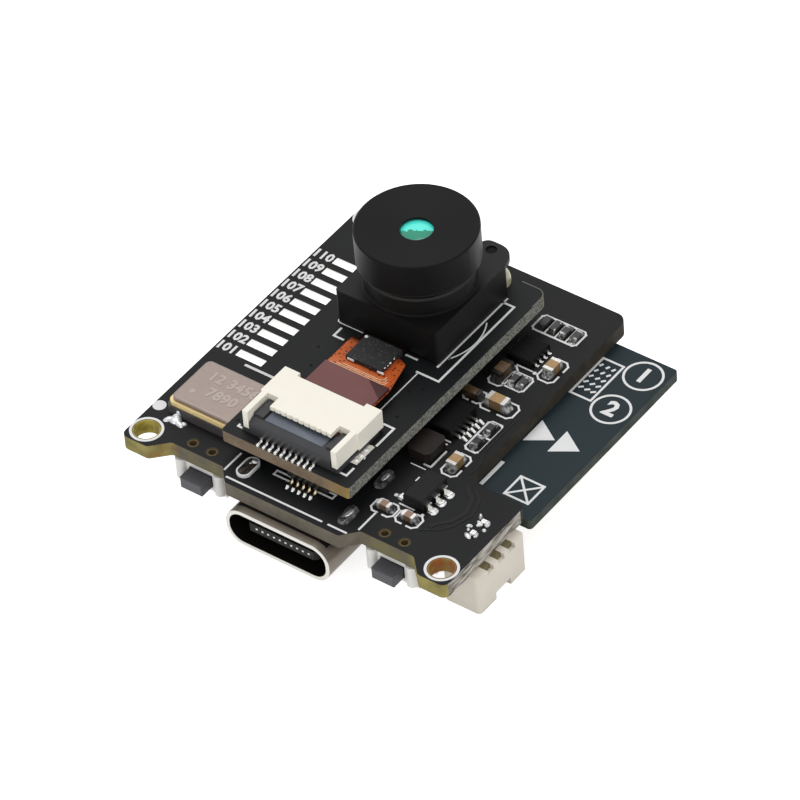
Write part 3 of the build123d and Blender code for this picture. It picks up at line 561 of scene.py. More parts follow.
# %% Toes of the small parts
ends = [(7.65, 8.7, 0.625, 0.8, 0.5), (7.8, 20.05, 0.625, 0.8, 0.5), (5.05, 17.9, 0.8, 0.85, 0.55)]
ends += [(x, y, 0.5, 0.5, 0.27) for x, y in [(7.65, 12.8), (7.65, 11.2), (6.15, 17.85), (6.85, 17.85)]]
ends += [(4.55 + 0.9 * step, 23.75, 0.5, 0.5, 0.27) for step in range(4)]
toes = []
for x, y, reach, wide, high in ends:
    for side, spin in ((1, 0), (-1, 180)):
        toes.append(laid(toe, x, y + side * reach, 0, (wide, 0.3, high), spin))
for x, y, reach, wide, high in [(6.0, 2.65, 0.5, 0.55, 0.36), (8.05, 2.65, 0.5, 0.55, 0.36),
                                (6.65, 15.1, 0.8, 0.85, 0.55)]:
    for side, spin in ((1, -90), (-1, 90)):
        toes.append(laid(toe, x + side * reach, y, 0, (wide, 0.28, high), spin))
finish(joined(toes, "toes"), "solder_toes", "body", 30)

# %% [markdown]
# The regulator's leads end in flat puddles, and three pegs of the USB shell stand in slots that
# are filled with solder. A puddle is two low drops, and a filled slot is one long drop.

# %% Solder on the regulator and in the slots
for y in (4.15, 5.1, 6.05):
    joints.append(laid(drop, 8.9, y, 0, (0.9, 0.62, 0.22)))
    joints.append(laid(drop, 9.1, y, 0, (0.5, 0.72, 0.16)))
joints.append(laid(drop, 6.35, 4.15, 0, (0.7, 0.62, 0.24)))
for x, y in SLOTS[1:]:
    joints.append(laid(drop, x + 0.04, y + 0.1, 0.14, (0.5, 1.2, 0.24), -4))
finish(joined(joints, "joints"), "solder_joints", "body", 60)

# %% [markdown]
# Some tin is bright over its whole length: the five sloping leads of the charging chip, a rim
# beside the inductor, and the five near feet of the stacking connector. A lead is a copy of the
# bar that is tipped about Y before it is laid down, and a foot is a copy of the toe. The chip and
# all the connectors have their leads half a millimetre apart, so one number serves them all.

# %% Bright leads, feet and rims
LEAD_PITCH = 0.5
bright = [stroke((6.33, 7.62), (6.33, 9.35), 0.13, 0, 0.1)]
bright.append(stroke((5.75, 7.56), (6.3, 7.56), 0.1, 0, 0.08))
tip = Matrix.Rotation(radians(34), 4, "Y")
for index in range(5):
    place = Matrix.Translation((6.72, 11.0 + LEAD_PITCH * index, 0.17))
    bright.append(copy_of(bar, place @ tip @ Matrix.Diagonal((0.46, 0.19, 0.06, 1))))
    bright.append(laid(toe, -0.88 + LEAD_PITCH * index, 0.7, 0, (0.22, 0.24, 0.17), 180))
finish(joined(bright, "bright"), "bright_leads")

# %% [markdown]
# The hole in the ear of the camera's holder is deep and dark. Left open it would show the pale
# floor, so a dark plug of painted shade sits a little below its top. Along the far edge of the
# camera board the coating has worn to a thin pale line, made of strokes and an arc.

# %% Painted shade in the ear hole, and worn edge
# A dark disc of painted shade, a little below the top of the ear's hole.
finish(laid(stud, 0.47, 23.38, 5.06, (0.88, 0.88, 0.24)), "ear_plug")
worn = [stroke((2.3, 24.36), (3.66, 24.36), 0.07, TOP), arc(3.65, 23.6, 0.765, 0, 90, 0.07, TOP)]
worn.append(stroke((4.415, 22.6), (4.415, 23.62), 0.07, TOP))
finish(joined(worn, "worn"), "worn_edge")

# %% [markdown]
# The flex connector's ten contacts each get a small drop, and its two tabs a few larger ones. The
# left front peg of the USB shell stands in a ring of print and has a tall lump of solder.

# %% Solder on the connectors
CONTACTS = 10
FIRST_CONTACT = -3.38
held = []
for index in range(CONTACTS):
    x = FIRST_CONTACT + LEAD_PITCH * index
    held.append(laid(drop, x, 0.92, TOP, (0.24, 0.3, 0.1)))
for x, y, long, wide, high, spin in [(3.3, 3.3, 0.66, 0.6, 0.42, 30), (3.32, 3.85, 0.6, 0.7, 0.5, 80),
                                     (3.28, 4.45, 0.6, 0.6, 0.44, 60), (3.3, 4.95, 0.5, 0.4, 0.3, 10),
                                     (-5.5, 3.4, 0.6, 0.6, 0.4, -30), (-5.52, 4.1, 0.6, 0.7, 0.44, 70),
                                     (-5.5, 4.7, 0.5, 0.5, 0.34, 0)]:
    held.append(laid(drop, x, y, TOP, (long, wide, high), spin))
peg_x, peg_y = SLOTS[0]
held.append(laid(drop, peg_x + 0.12, peg_y + 0.66, 0, (0.66, 0.5, 0.74), 30))
held.append(laid(drop, peg_x - 0.05, peg_y + 0.4, 0, (0.42, 0.3, 0.55), 70))
finish(joined(held, "held"), "connector_solder", "body", 60)

# %% [markdown]
# Raised copper tracks run under the solder mask as soft ridges, and every plated hole ends in a
# small dark dimple. Both could be bumps in the board's material, but the places matter, and low
# bars and studs are easy to place. The main board's holes are spread by two shares of the golden
# section, which scatter evenly and give the same places each time. Two of three stand in a strip
# at the left, and the third at the right, except among the small parts.

# %% Tracks and plated holes
TRACK = 0.035
tracks = []
for points, width in [
        ([(9.6, 7.3), (10.6, 6.5), (11.0, 5.2), (10.6, 4.0), (9.9, 3.3), (9.75, 2.9)], 0.3),
        ([(10.1, 7.5), (11.1, 6.7), (11.5, 5.2), (11.0, 3.7), (10.4, 2.9), (9.3, 2.2)], 0.16),
        ([(8.55, 14.5), (8.55, 10.6), (9.0, 9.8), (9.0, 8.6)], 0.14),
        ([(8.3, 14.5), (8.3, 10.6)], 0.14)]:
    tracks += path(points, width, 0, TRACK)
finish(joined(tracks, "tracks"), "raised_tracks")

DIMPLE = (0.24, 0.24, 0.008)
dimples = []
for index in range(34):
    across = (index * 0.618) % 1
    along = (index * 0.381) % 1
    x = -8.9 + 2.1 * across + (13.2 if index % 3 == 0 else 0)
    y = 9.6 + 16.8 * along
    if x < 8.0 or y > 21.5:
        dimples.append(laid(stud, x, y, 0, DIMPLE))
for x, y in [(3.0, 8.4), (2.2, 10.9), (-5.2, 9.4), (-5.9, 11.2), (2.9, 11.6), (-6.1, 2.2), (3.9, 14.9)]:
    dimples.append(laid(stud, x, y, TOP, DIMPLE))
finish(joined(dimples, "dimples"), "plated_holes")

# %% [markdown]
# The walls of the mounting holes and of the switches' peg holes are stained gold and orange by
# the resin. The board's own material could colour them, but a thin sleeve gives each kind of hole
# its own stain. The peg holes have a low collar too, and olive resin shows in three blocks
# between the board and the wire socket.

# %% Sleeves, collars and resin
PEGS_X = [-9.14, -7.46, 7.46, 9.14]
PEGS_Y = 0.65
sleeves = [ring(x, y, 0.925, 0.995, -1.19, 1.18, 40) for x, y in HOLES]
finish(joined(sleeves, "sleeves"), "hole_sleeves")
narrow = [ring(x, PEGS_Y, 0.29, 0.352, -0.6, 0.6, 28) for x in PEGS_X]
finish(joined(narrow, "narrow"), "peg_hole_sleeves")
collars = [ring(x, PEGS_Y, 0.4, 0.45, 0, INK, 28) for x in PEGS_X]
finish(joined(collars, "collars"), "hole_collars")

fills = [block(13.3, 14.46, y - 0.35, y + 0.35, -1.56, -1.21) for y in (2.75, 4.0, 5.25)]
finish(joined(fills, "fills"), "resin_fills")

# %% [markdown]
# Ten contacts reach the front of the USB tongue, each a small plate that is turned to face the
# plug. The oscillator's lid has two faint rows of digits and a dot at its first pin, marked by a
# laser and here laid on as thin ink.

# %% Tongue contacts and lid marks
dot = plate(-0.08, 0.08, -0.06, 0.06, 0, 0.03, 0.03)
face_front = Matrix.Rotation(radians(90), 4, "X")
dots = []
for index in range(CONTACTS):
    place = Matrix.Translation((-2.14 + LEAD_PITCH * index, -1.58, -2.84))
    dots.append(copy_of(dot, place @ face_front))
remove(dot)
finish(joined(dots, "dots"), "tongue_contacts")

LID = 1.445
lid_marks = [number("12 3456", -9.2, 5.6, 1.3, LID), number("7890", -9.2, 4.15, 1.3, LID)]
lid_marks.append(laid(stud, -11.4, 3.7, LID, (0.42, 0.42, 0.012)))
finish(joined(lid_marks, "lid_marks"), "lid_marks")

# %% [markdown]
# One more small capacitor stands half under the camera board's right side, where little light
# reaches it. It is a brown block with a metal end and a toe of solder, all darkened by painted shade.

# %% Shaded capacitor
shaded = plate(3.62, 4.95, 14.72, 15.36, 0, 0.55, 0.05, 0.03)
finish(shaded, "shaded_capacitor")
shaded_end = joined([plate(4.93, 5.2, 14.7, 15.38, 0, 0.57, 0.05, 0.03),
                     laid(toe, 5.2, 15.04, 0, (0.66, 0.3, 0.36), -90)], "shaded_end")
finish(shaded_end, "shaded_capacitor_end")

# %% [markdown]
# The flex connector and the flex have a few fine details: a grey band in the recess under the
# slide lock, the two solder ends of the chip on the flex with some crumbs beside it and a dot,
# and three thin copper lines that turn a corner. They are plates, studs and paths again.

# %% Connector band, flex marks and lines
band = plate(-3.66, 1.42, 2.2, 3.4, 3.69, 3.78, 0.05, 0.04)
edit(band)
pick("VERT", lambda vertex: vertex.co.x > 1.2)
bpy.ops.transform.translate(value=(-0.14, 0, -0.05))
begin()
finish(band, "connector_band")

marks = [plate(x, x + wide, 10.39, 10.5, 3.54, 3.68, 0.04) for x, wide in [(-2.7, 0.56), (-0.12, 0.54)]]
for x, y, wide in [(0.2, 12.0, 0.1), (0.24, 11.5, 0.13), (0.2, 10.9, 0.1), (0.26, 11.2, 0.08)]:
    marks.append(laid(stud, x, y, 3.72, (wide, wide * 1.6, 0.03)))
marks.append(laid(stud, -2.75, 12.75, 3.8, (0.26, 0.26, 0.02)))
finish(joined(marks, "marks"), "flex_marks")

LINE_PITCH = 0.16
traces = []
for step in range(3):
    y = 9.68 + LINE_PITCH * step
    corner_x = 1.0 - LINE_PITCH * step
    points = [(-3.7 + 0.5 * step, y), (0.75 - 0.14 * step, y), (corner_x, y + 0.16), (corner_x, y + 0.42)]
    traces += path(points, 0.06, 3.415, THIN_INK)
finish(joined(traces, "traces"), "flex_traces")

# %% [markdown]
# ## Finishes
# Every material is a Principled shader whose colour, gloss and relief come from node patterns.
# The nodes could be wired one by one, but a sum reads better as a plain expression. So a small
# class wraps a node's output, and arithmetic on it adds Math nodes.

# %% Arithmetic with nodes


class Signal:
    """The output of a node. Arithmetic on it adds Math nodes."""

    def __init__(self, paint, socket):
        self.paint = paint
        self.socket = socket

    def __add__(self, other):
        return self.paint.maths("ADD", self, other)

    def __radd__(self, other):
        return self.paint.maths("ADD", other, self)

    def __sub__(self, other):
        return self.paint.maths("SUBTRACT", self, other)

    def __rsub__(self, other):
        return self.paint.maths("SUBTRACT", other, self)

    def __mul__(self, other):
        return self.paint.maths("MULTIPLY", self, other)

    def __rmul__(self, other):
        return self.paint.maths("MULTIPLY", other, self)

    def __gt__(self, other):
        return self.paint.maths("GREATER_THAN", self, other)

    def __lt__(self, other):
        return self.paint.maths("LESS_THAN", self, other)

    def __abs__(self):
        return self.paint.maths("ABSOLUTE", self, 0)


def between(signal, low, high):
    """1 where a signal lies between two values, else 0."""
    return (signal > low) * (signal < high)


# %% [markdown]
# A second class is the material itself. One of its methods adds any node, and short ones add what
# comes back all the time: coordinates, noise, a mix of two colours, a mask and a bump. Patterns
# read Object coordinates in millimetres, so a place on the module has the same numbers here as
# in the modelling above.

# %% A material under construction
BLACK = (0, 0, 0)
WHITE = (1, 1, 1)
materials = {}


class Paint:
    """A material with one Principled shader, kept under its name in the list of materials."""

    def __init__(self, name, colour, roughness, metallic=0.0, **sockets):
        self.material = bpy.data.materials.new(name)
        self.material.use_nodes = True
        self.tree = self.material.node_tree
        self.shader = self.tree.nodes["Principled BSDF"]
        self.set("Base Color", (*colour, 1))
        self.set("Roughness", roughness)
        self.set("Metallic", metallic)
        for socket, value in sockets.items():
            self.set(socket.replace("_", " ").title().replace("Ior", "IOR"), value)
        materials[name] = self.material

    def set(self, socket, value):
        self.feed(self.shader.inputs[socket], value)

    def feed(self, socket, value):
        if isinstance(value, Signal):
            self.tree.links.new(value.socket, socket)
        else:
            socket.default_value = value

    def node(self, kind, settings=None, values=None, output=0):
        """Adds a node: its settings first, then the values or links of its sockets."""
        node = self.tree.nodes.new("ShaderNode" + kind)
        for key, value in (settings or {}).items():
            if key == "stops":
                self.stops(node, value)
            else:
                setattr(node, key, value)
        for key, value in (values or {}).items():
            self.feed(node.inputs[key], value)
        return Signal(self, node.outputs[output])

    def stops(self, node, stops):
        """Sets a colour ramp's stops, each a place and a colour."""
        elements = node.color_ramp.elements
        while len(elements) < len(stops):
            elements.new(1)
        for element, (place, colour) in zip(elements, stops):
            element.position = place
            element.color = (*colour, 1)

    def maths(self, operation, one, two):
        return self.node("Math", {"operation": operation}, {0: one, 1: two})

    def place(self, stretch=(1, 1, 1)):
        """Object coordinates in millimetres, stretched along each axis."""
        scale = [share / MM for share in stretch]
        coordinates = self.node("TexCoord", output=3)
        return self.node("Mapping", {}, {0: coordinates, 3: scale})

    def axis(self, index, source=None):
        """One coordinate of a vector: 0, 1 or 2 for x, y or z."""
        return self.node("SeparateXYZ", {}, {0: source or self.place()}, output=index)

    def upness(self):
        """How far the surface faces up: 1 on a level top, 0 on a wall, -1 below."""
        return self.axis(2, self.node("NewGeometry", output=1))

    def noise(self, scale, detail=3.0, stretch=(1, 1, 1)):
        values = {"Vector": self.place(stretch), "Scale": scale, "Detail": detail}
        return self.node("TexNoise", {}, values)

    def ramp(self, source, stops):
        return self.node("ValToRGB", {"stops": stops}, {0: source})

    def mask(self, source, low=0.0, high=1.0):
        """0 up to one value of a signal and 1 from another, with a slope between them."""
        return self.ramp(source, [(low, BLACK), (high, WHITE)])

    def mix(self, share, one, two):
        """A colour between two colours."""
        one = (*one, 1) if isinstance(one, tuple) else one
        two = (*two, 1) if isinstance(two, tuple) else two
        return self.node("Mix", {"data_type": "RGBA"}, {0: share, 6: one, 7: two}, output=2)

    def relief(self, height, distance, strength=1.0):
        """Bumps the surface by height times distance, in metres."""
        values = {"Strength": strength, "Distance": distance, "Height": height}
        self.set("Normal", self.node("Bump", {}, values))


def wear(paint, colour, light, scale=1.2):
    """Lets a colour drift softly between itself and a lighter one."""
    paint.set("Base Color", paint.mix(paint.noise(scale, 4), colour, light))


def in_gloom(paint):
    """1 on the small parts under the camera board's right side, which get painted shade, else 0."""
    return (paint.axis(0) < 5.6) * (paint.axis(1) > 14.0)


# %% [markdown]
# A circuit board is glass cloth in resin. Its faces are covered by a glossy black solder mask,
# but the milled edge shows the bare laminate: olive and gold, with pale torn fibres. Two materials
# would need the faces sorted first. One material can tell them apart by the way they face.

# %% Circuit board laminate


def laminate(name, face, face_light, edge, edge_light, roughness=0.4, patches=None, fibres=(4.0, 5)):
    """A dark coat above and below, and a stained rim that may have patches or torn fibres."""
    paint = Paint(name, face, roughness, Specular_IOR_Level=0.14)
    on_edge = abs(paint.upness()) < 0.5
    cloud = paint.noise(0.35, 3)
    stain = paint.mask(paint.noise(0.7, 3), 0.35, 0.65)
    torn = paint.mask(paint.noise(*fibres), 0.34, 0.66)
    coat = paint.mix(cloud, face, face_light)
    side = paint.mix(stain * 0.7 + torn * 0.3, edge, edge_light)
    for where, fibrous, colours in patches(paint) if patches else []:
        side = paint.mix(where, side, paint.mix(torn if fibrous else stain, *colours))
    paint.set("Base Color", paint.mix(on_edge, coat, side))
    paint.set("Roughness", roughness + 0.3 * on_edge + 0.08 * cloud)
    grain = paint.noise(14, 2)
    paint.relief(on_edge * torn * 0.5 + grain * 0.08, 0.00006, 0.5)


laminate("radio_board_laminate", (0.013, 0.024, 0.029), (0.017, 0.029, 0.035),
         (0.03, 0.038, 0.033), (0.07, 0.082, 0.072), 0.42)
print(list(materials))

# %% [markdown]
# The two larger boards have more than one kind of edge. A function lists the patches of each, and
# where they lie: the main board's ears are olive and gold, one of them with an orange stain and
# the other with a side of torn fibres, and the camera board's long right side is rough and grey.
# Behind the ears, the main board's edge is painted dark as shade.

# %% Edges of the two stacked boards
TAB_END = 5.2
EAR_START = 9.9
EAR_SIDE = 13.97


def main_patches(paint):
    x = paint.axis(0)
    y = paint.axis(1)
    near = y < 7.0
    outwards = paint.mask((abs(x) - TAB_END) * 0.7)
    at_ears = paint.mask((abs(x) - EAR_START) * 1.1)
    stained = paint.mask(paint.noise(0.8, 2), 0.4, 0.66)
    orange = between(x, -12.0, -EAR_START) * near * stained
    return [(outwards * near, False, ((0.14, 0.125, 0.1), (0.19, 0.17, 0.09))),
            (at_ears * near, False, ((0.22, 0.19, 0.07), (0.36, 0.31, 0.11))),
            (orange * 0.8, False, ((0.3, 0.145, 0.045), (0.34, 0.2, 0.06))),
            (x > EAR_SIDE, True, ((0.08, 0.068, 0.045), (0.62, 0.59, 0.54))),
            # Painted shade: the main board's edge is darker behind the ears.
            (y > 7.4, False, ((0.03, 0.026, 0.02), (0.05, 0.044, 0.035)))]


def camera_patches(paint):
    x = paint.axis(0)
    towards_corner = paint.mask((x - 1.8) * 0.42)
    return [(towards_corner, False, ((0.27, 0.18, 0.07), (0.38, 0.26, 0.1))),
            (x > 4.42, True, ((0.07, 0.072, 0.06), (0.34, 0.35, 0.31)))]


laminate("black_board", (0.006, 0.0062, 0.007), (0.011, 0.0115, 0.0125), (0.13, 0.115, 0.09),
         (0.19, 0.17, 0.135), 0.4, main_patches, (2.6, 5, (1, 0.35, 2)))
laminate("camera_board_laminate", (0.005, 0.0055, 0.006), (0.011, 0.012, 0.013),
         (0.17, 0.125, 0.085), (0.27, 0.21, 0.15), 0.4, camera_patches, (8.0, 5))
print(list(materials))

# %% [markdown]
# The plastics are moulded: mostly plain, with a fine grain that breaks up the highlights and a
# faint drift of colour. A slow noise gives the drift and a fast one the grain. The coatings, the
# ink and the resin stains behave in the same way, so the same function makes them.

# %% Moulded plastics and coatings


def plastic(name, colour, light, roughness, grain=9.0, depth=0.00002, gloss=0.5):
    paint = Paint(name, colour, roughness, Specular_IOR_Level=gloss)
    wear(paint, colour, light, 0.8)
    fine = paint.noise(grain, 4)
    paint.set("Roughness", roughness + 0.12 * (fine - 0.5))
    paint.relief(fine, depth, 0.35)


plastic("connector_black", (0.034, 0.0345, 0.036), (0.046, 0.047, 0.05), 0.45, gloss=0.3)
plastic("socket_black", (0.012, 0.013, 0.014), (0.02, 0.02, 0.022), 0.5)
plastic("tongue_black", (0.014, 0.0135, 0.013), (0.021, 0.02, 0.019), 0.6, gloss=0.2)
plastic("chip_black", (0.003, 0.003, 0.0032), (0.006, 0.006, 0.0064), 0.5, 14, 0.00004, 0.08)
plastic("regulator_black", (0.0075, 0.0075, 0.0078), (0.012, 0.012, 0.0125), 0.5, 14, 0.00004, 0.15)
plastic("ferrite_brown", (0.009, 0.0065, 0.0055), (0.017, 0.012, 0.01), 0.5, 9, 0.00003, 0.2)
plastic("hole_black", (0.003, 0.003, 0.003), (0.005, 0.005, 0.005), 0.6, 9, 0.00001, 0.1)
plastic("track_mask", (0.008, 0.0083, 0.009), (0.013, 0.0135, 0.0145), 0.4, 9, 0.00001, 0.16)
plastic("worn_coating", (0.09, 0.088, 0.07), (0.17, 0.165, 0.14), 0.5, 4)
plastic("band_grey", (0.085, 0.1, 0.13), (0.14, 0.16, 0.2), 0.5, 6, 0.00005)
plastic("plunger_grey", (0.039, 0.04, 0.048), (0.058, 0.059, 0.068), 0.48)
plastic("slider_cream", (0.94, 0.89, 0.76), (0.98, 0.95, 0.86), 0.45)
plastic("housing_white", (0.68, 0.62, 0.54), (0.74, 0.69, 0.6), 0.5)
plastic("switch_white", (0.8, 0.79, 0.75), (0.88, 0.87, 0.84), 0.45)
plastic("white_print_and_highlight", (0.76, 0.77, 0.77), (0.84, 0.84, 0.84), 0.55, 12)
plastic("dark_resin", (0.12, 0.05, 0.01), (0.085, 0.075, 0.015), 0.4, 5)
plastic("olive_resin", (0.1, 0.08, 0.03), (0.17, 0.14, 0.06), 0.5, 5, 0.00004)
plastic("trace_copper", (0.8, 0.45, 0.26), (0.92, 0.58, 0.38), 0.35)
print(len(materials), "materials so far")

# %% [markdown]
# The lens barrel and its holder are both black, but not alike. The barrel is painted darkest on its
# level face as shade, has a painted highlight along the lower rim of its wide cap, and is painted
# darker again under the cap as shade. The holder has painted highlights, pale lines round the foot
# and the top of its collar. Separate rings could give the lines, but a mask on the height does it
# within the same surface.

# %% Blacks of the camera
CAP_RIM = 7.72
CAP_BOTTOM = 7.595
LENS_X, LENS_Y = -1.98, 18.32
COLLAR_SQUARED = 17.4

barrel = Paint("lens_black", (0.0045, 0.0045, 0.0048), 0.42, Specular_IOR_Level=0.11)
height = barrel.axis(2)
tone = barrel.mix(barrel.noise(0.8, 4), (0.0055, 0.0055, 0.0058), (0.0075, 0.0075, 0.008))
# Painted shade: the level face is darkest.
tone = barrel.mix(barrel.upness() > 0.5, tone, (0.0026, 0.0026, 0.0028))
# Painted highlight: a pale band along the lower rim of the cap.
tone = barrel.mix(height < CAP_RIM, tone, (0.022, 0.022, 0.022))
# Painted shade under the cap.
tone = barrel.mix(height < CAP_BOTTOM, tone, (0.0015, 0.0015, 0.0015))
barrel.set("Base Color", tone)
barrel.relief(barrel.noise(9, 4), 0.00002, 0.35)

holder = Paint("holder_black", (0.004, 0.004, 0.0044), 0.42, Specular_IOR_Level=0.2)
height = holder.axis(2)
across = holder.axis(0) - LENS_X
along = holder.axis(1) - LENS_Y
foot_highlight = between(height, 5.45, 5.58) * (across * across + along * along < COLLAR_SQUARED)
tone = holder.mix(holder.noise(0.6, 3), (0.004, 0.0038, 0.0038), (0.008, 0.0074, 0.0074))
# Painted highlights: pale lines round the foot and the top of the collar.
tone = holder.mix(foot_highlight, tone, (0.02, 0.02, 0.021))
tone = holder.mix(between(height, 6.85, 6.99), tone, (0.026, 0.025, 0.024))
holder.set("Base Color", tone)
holder.relief(holder.noise(5, 4), 0.00001, 0.35)
print(len(materials), "materials so far")

# %% [markdown]
# The chip on the flex is black with a few grey painted highlights, and the resin in the mounting
# holes is yellow on the left and orange on the right. Both are one noise that is cut by a mask.

# %% Chip with painted glints, and stained resin
chip = Paint("flex_chip_black", (0.012, 0.012, 0.012), 0.5, Specular_IOR_Level=0.2)
painted_glints = chip.mask(chip.noise(7, 3), 0.6, 0.72)
chip.set("Base Color", chip.mix(painted_glints, (0.02, 0.02, 0.0205), (0.09, 0.1, 0.09)))

resin = Paint("resin_gold", (0.4, 0.3, 0.06), 0.45, Specular_IOR_Level=0.15)
blotch = resin.mask(resin.noise(1.1, 3), 0.42, 0.6)
yellow = resin.mix(blotch, (0.3, 0.24, 0.03), (0.5, 0.42, 0.09))
orange = resin.mix(blotch, (0.34, 0.115, 0.018), (0.32, 0.24, 0.06))
resin.set("Base Color", resin.mix(resin.axis(0) > 0, yellow, orange))
print(len(materials), "materials so far")

# %% [markdown]
# The metals differ in colour and in how they were made: drawn steel has fine lines along the
# sheet, plating is smooth, and solder froze in soft ripples. One function serves them all, with
# a noise that is stretched along the sheet or left round.

# %% Metals


def metal(name, colour, light, roughness, stretch=(1, 1, 1), grain=6.0, depth=0.00001, shine=1.0):
    paint = Paint(name, colour, roughness, shine)
    streak = paint.noise(grain, 4, stretch)
    paint.set("Base Color", paint.mix(streak, colour, light))
    paint.set("Roughness", roughness + 0.16 * (streak - 0.5))
    paint.relief(streak, depth, 0.5)


metal("shield_steel", (0.55, 0.54, 0.52), (0.66, 0.65, 0.63), 0.32, (0.5, 5, 5))
metal("cover_steel", (0.78, 0.77, 0.75), (0.86, 0.85, 0.83), 0.3, shine=0.6)
metal("tin_plating", (0.72, 0.71, 0.68), (0.83, 0.82, 0.8), 0.22)
metal("bright_tin", (0.85, 0.85, 0.83), (0.93, 0.93, 0.91), 0.35, shine=0.35)
metal("pad_tin", (0.82, 0.82, 0.8), (0.9, 0.9, 0.89), 0.5)
metal("solder_metal", (0.42, 0.43, 0.44), (0.88, 0.89, 0.9), 0.24, grain=2.6, depth=0.00009, shine=0.55)
metal("gold_plating", (0.92, 0.68, 0.28), (1.0, 0.84, 0.46), 0.3, grain=3.0, depth=0.000002, shine=0.15)
metal("pin_gold", (0.82, 0.74, 0.56), (0.93, 0.87, 0.72), 0.24)
metal("dull_gold", (0.05, 0.042, 0.02), (0.09, 0.075, 0.036), 0.5)
metal("lid_metal", (0.23, 0.185, 0.165), (0.3, 0.25, 0.225), 0.42, (0.6, 5, 1), 3.0)
metal("lid_ink", (0.3, 0.255, 0.23), (0.36, 0.31, 0.28), 0.5)
print(len(materials), "materials so far")

# %% [markdown]
# The USB shell is drawn from steel sheet, warm grey outside. A painted highlight makes it bright
# along its mouth, and painted shade makes it nearly black inside and behind the seam at its top,
# where no light arrives. The distance from the middle of each round end tells the inner wall from
# the outer one.

# %% Steel of the USB shell
MOUTH_Y = -2.03
ROUND_END_X = 2.9
SHELL_MIDDLE_Z = -2.88
WALL_SQUARED = 2.04

shell = Paint("shell_steel", (0.2, 0.17, 0.14), 0.38, 0.6)
drawn = shell.noise(6, 4, (5, 0.5, 5))
sideways = shell.maths("MAXIMUM", abs(shell.axis(0)) - ROUND_END_X, 0)
upwards = shell.axis(2) - SHELL_MIDDLE_Z
inside = sideways * sideways + upwards * upwards < WALL_SQUARED
seam = (shell.axis(1) > -1.44) * (shell.axis(2) > -1.6)
tone = shell.mix(drawn, (0.17, 0.15, 0.12), (0.26, 0.225, 0.185))
# Painted shade: the inside of the shell is nearly black.
tone = shell.mix(inside, tone, (0.012, 0.01, 0.009))
# Painted shadow behind the seam at the top.
tone = shell.mix(seam, tone, (0.02, 0.017, 0.013))
# Painted highlight: the mouth is pale.
shell.set("Base Color", shell.mix(shell.axis(1) < MOUTH_Y, tone, (0.66, 0.64, 0.6)))
shell.set("Roughness", 0.32 + 0.14 * drawn)
shell.relief(drawn, 0.00001, 0.5)
print(len(materials), "materials so far")

# %% [markdown]
# Some solder and tin is far from bright. The pools round the shell's pegs are dull and rippled,
# darker on the left, and the toes of the small parts are crumbly. Under the camera board both the
# toes and the ends of the capacitors are darkened by painted shade.

# %% Dull solder and shaded tin
pool = Paint("pool_metal", (0.2, 0.2, 0.2), 0.35, 0.5)
ripple = pool.mask(pool.noise(2.0, 4, (2.5, 1, 1)), 0.4, 0.7)
left_pool = pool.mix(ripple, (0.02, 0.016, 0.012), (0.1, 0.085, 0.07))
right_pool = pool.mix(ripple, (0.035, 0.034, 0.033), (0.24, 0.235, 0.23))
pool.set("Base Color", pool.mix(pool.axis(0) > 0, left_pool, right_pool))
pool.relief(ripple, 0.00006, 0.6)

tin = Paint("end_tin", (0.7, 0.7, 0.68), 0.3, 0.8)
tone = tin.mix(tin.noise(5, 4), (0.45, 0.44, 0.42), (0.86, 0.85, 0.83))
# Painted shade: under the camera board the tin is nearly black.
tin.set("Base Color", tin.mix(in_gloom(tin), tone, (0.035, 0.033, 0.028)))

crumbly = Paint("toe_solder", (0.3, 0.3, 0.3), 0.3, 0.5)
crumbs = crumbly.mask(crumbly.noise(3.4, 5), 0.42, 0.62)
tone = crumbly.mix(crumbs, (0.05, 0.05, 0.048), (0.55, 0.55, 0.54))
# Painted shade: under the camera board the toes are nearly black.
crumbly.set("Base Color", crumbly.mix(in_gloom(crumbly), tone, (0.04, 0.038, 0.034)))
crumbly.relief(crumbs, 0.00006, 0.6)
print(len(materials), "materials so far")

# %% [markdown]
# Ceramic parts are fired and slightly glossy. A resistor is black glaze. A capacitor is a warm
# brown block with thin layers that barely show, and the near ones are redder. Painted shade makes
# its walls darker than its top and darkens the capacitors under the camera board.

# %% Ceramics


def ceramic(name, colour, light, roughness, layers=0.0):
    paint = Paint(name, colour, roughness)
    spots = paint.noise(5, 4)
    bands = paint.node("TexWave", {"bands_direction": "Z"},
                       {"Vector": paint.place(), "Scale": 3.0, "Distortion": 0.6}, output=1)
    tone = paint.mix(spots * (1 - layers) + bands * layers, colour, light)
    if layers:
        near = paint.axis(1) < 4.0
        tone = paint.mix(near, tone, paint.mix(spots, (0.2, 0.11, 0.07), (0.36, 0.22, 0.15)))
        # Painted shade under the camera board.
        painted_shade_tone = paint.mix(spots, (0.05, 0.028, 0.012), (0.16, 0.095, 0.04))
        tone = paint.mix(in_gloom(paint), tone, painted_shade_tone)
        # Painted shade: the walls are darker than the top.
        wall = paint.mix(0.6, tone, (0.03, 0.02, 0.012))
        tone = paint.mix(paint.upness() > 0.5, wall, tone)
    paint.set("Base Color", tone)
    paint.set("Roughness", roughness + 0.1 * (spots - 0.5))
    paint.relief(spots, 0.00002, 0.4)


ceramic("capacitor_brown", (0.3, 0.165, 0.06), (0.52, 0.34, 0.15), 0.38, 0.25)
ceramic("resistor_black", (0.016, 0.016, 0.018), (0.03, 0.03, 0.032), 0.3)
ceramic("base_ceramic", (0.042, 0.036, 0.038), (0.07, 0.06, 0.062), 0.5)
ceramic("silicon", (0.05, 0.05, 0.06), (0.09, 0.08, 0.1), 0.15)
print(len(materials), "materials so far")
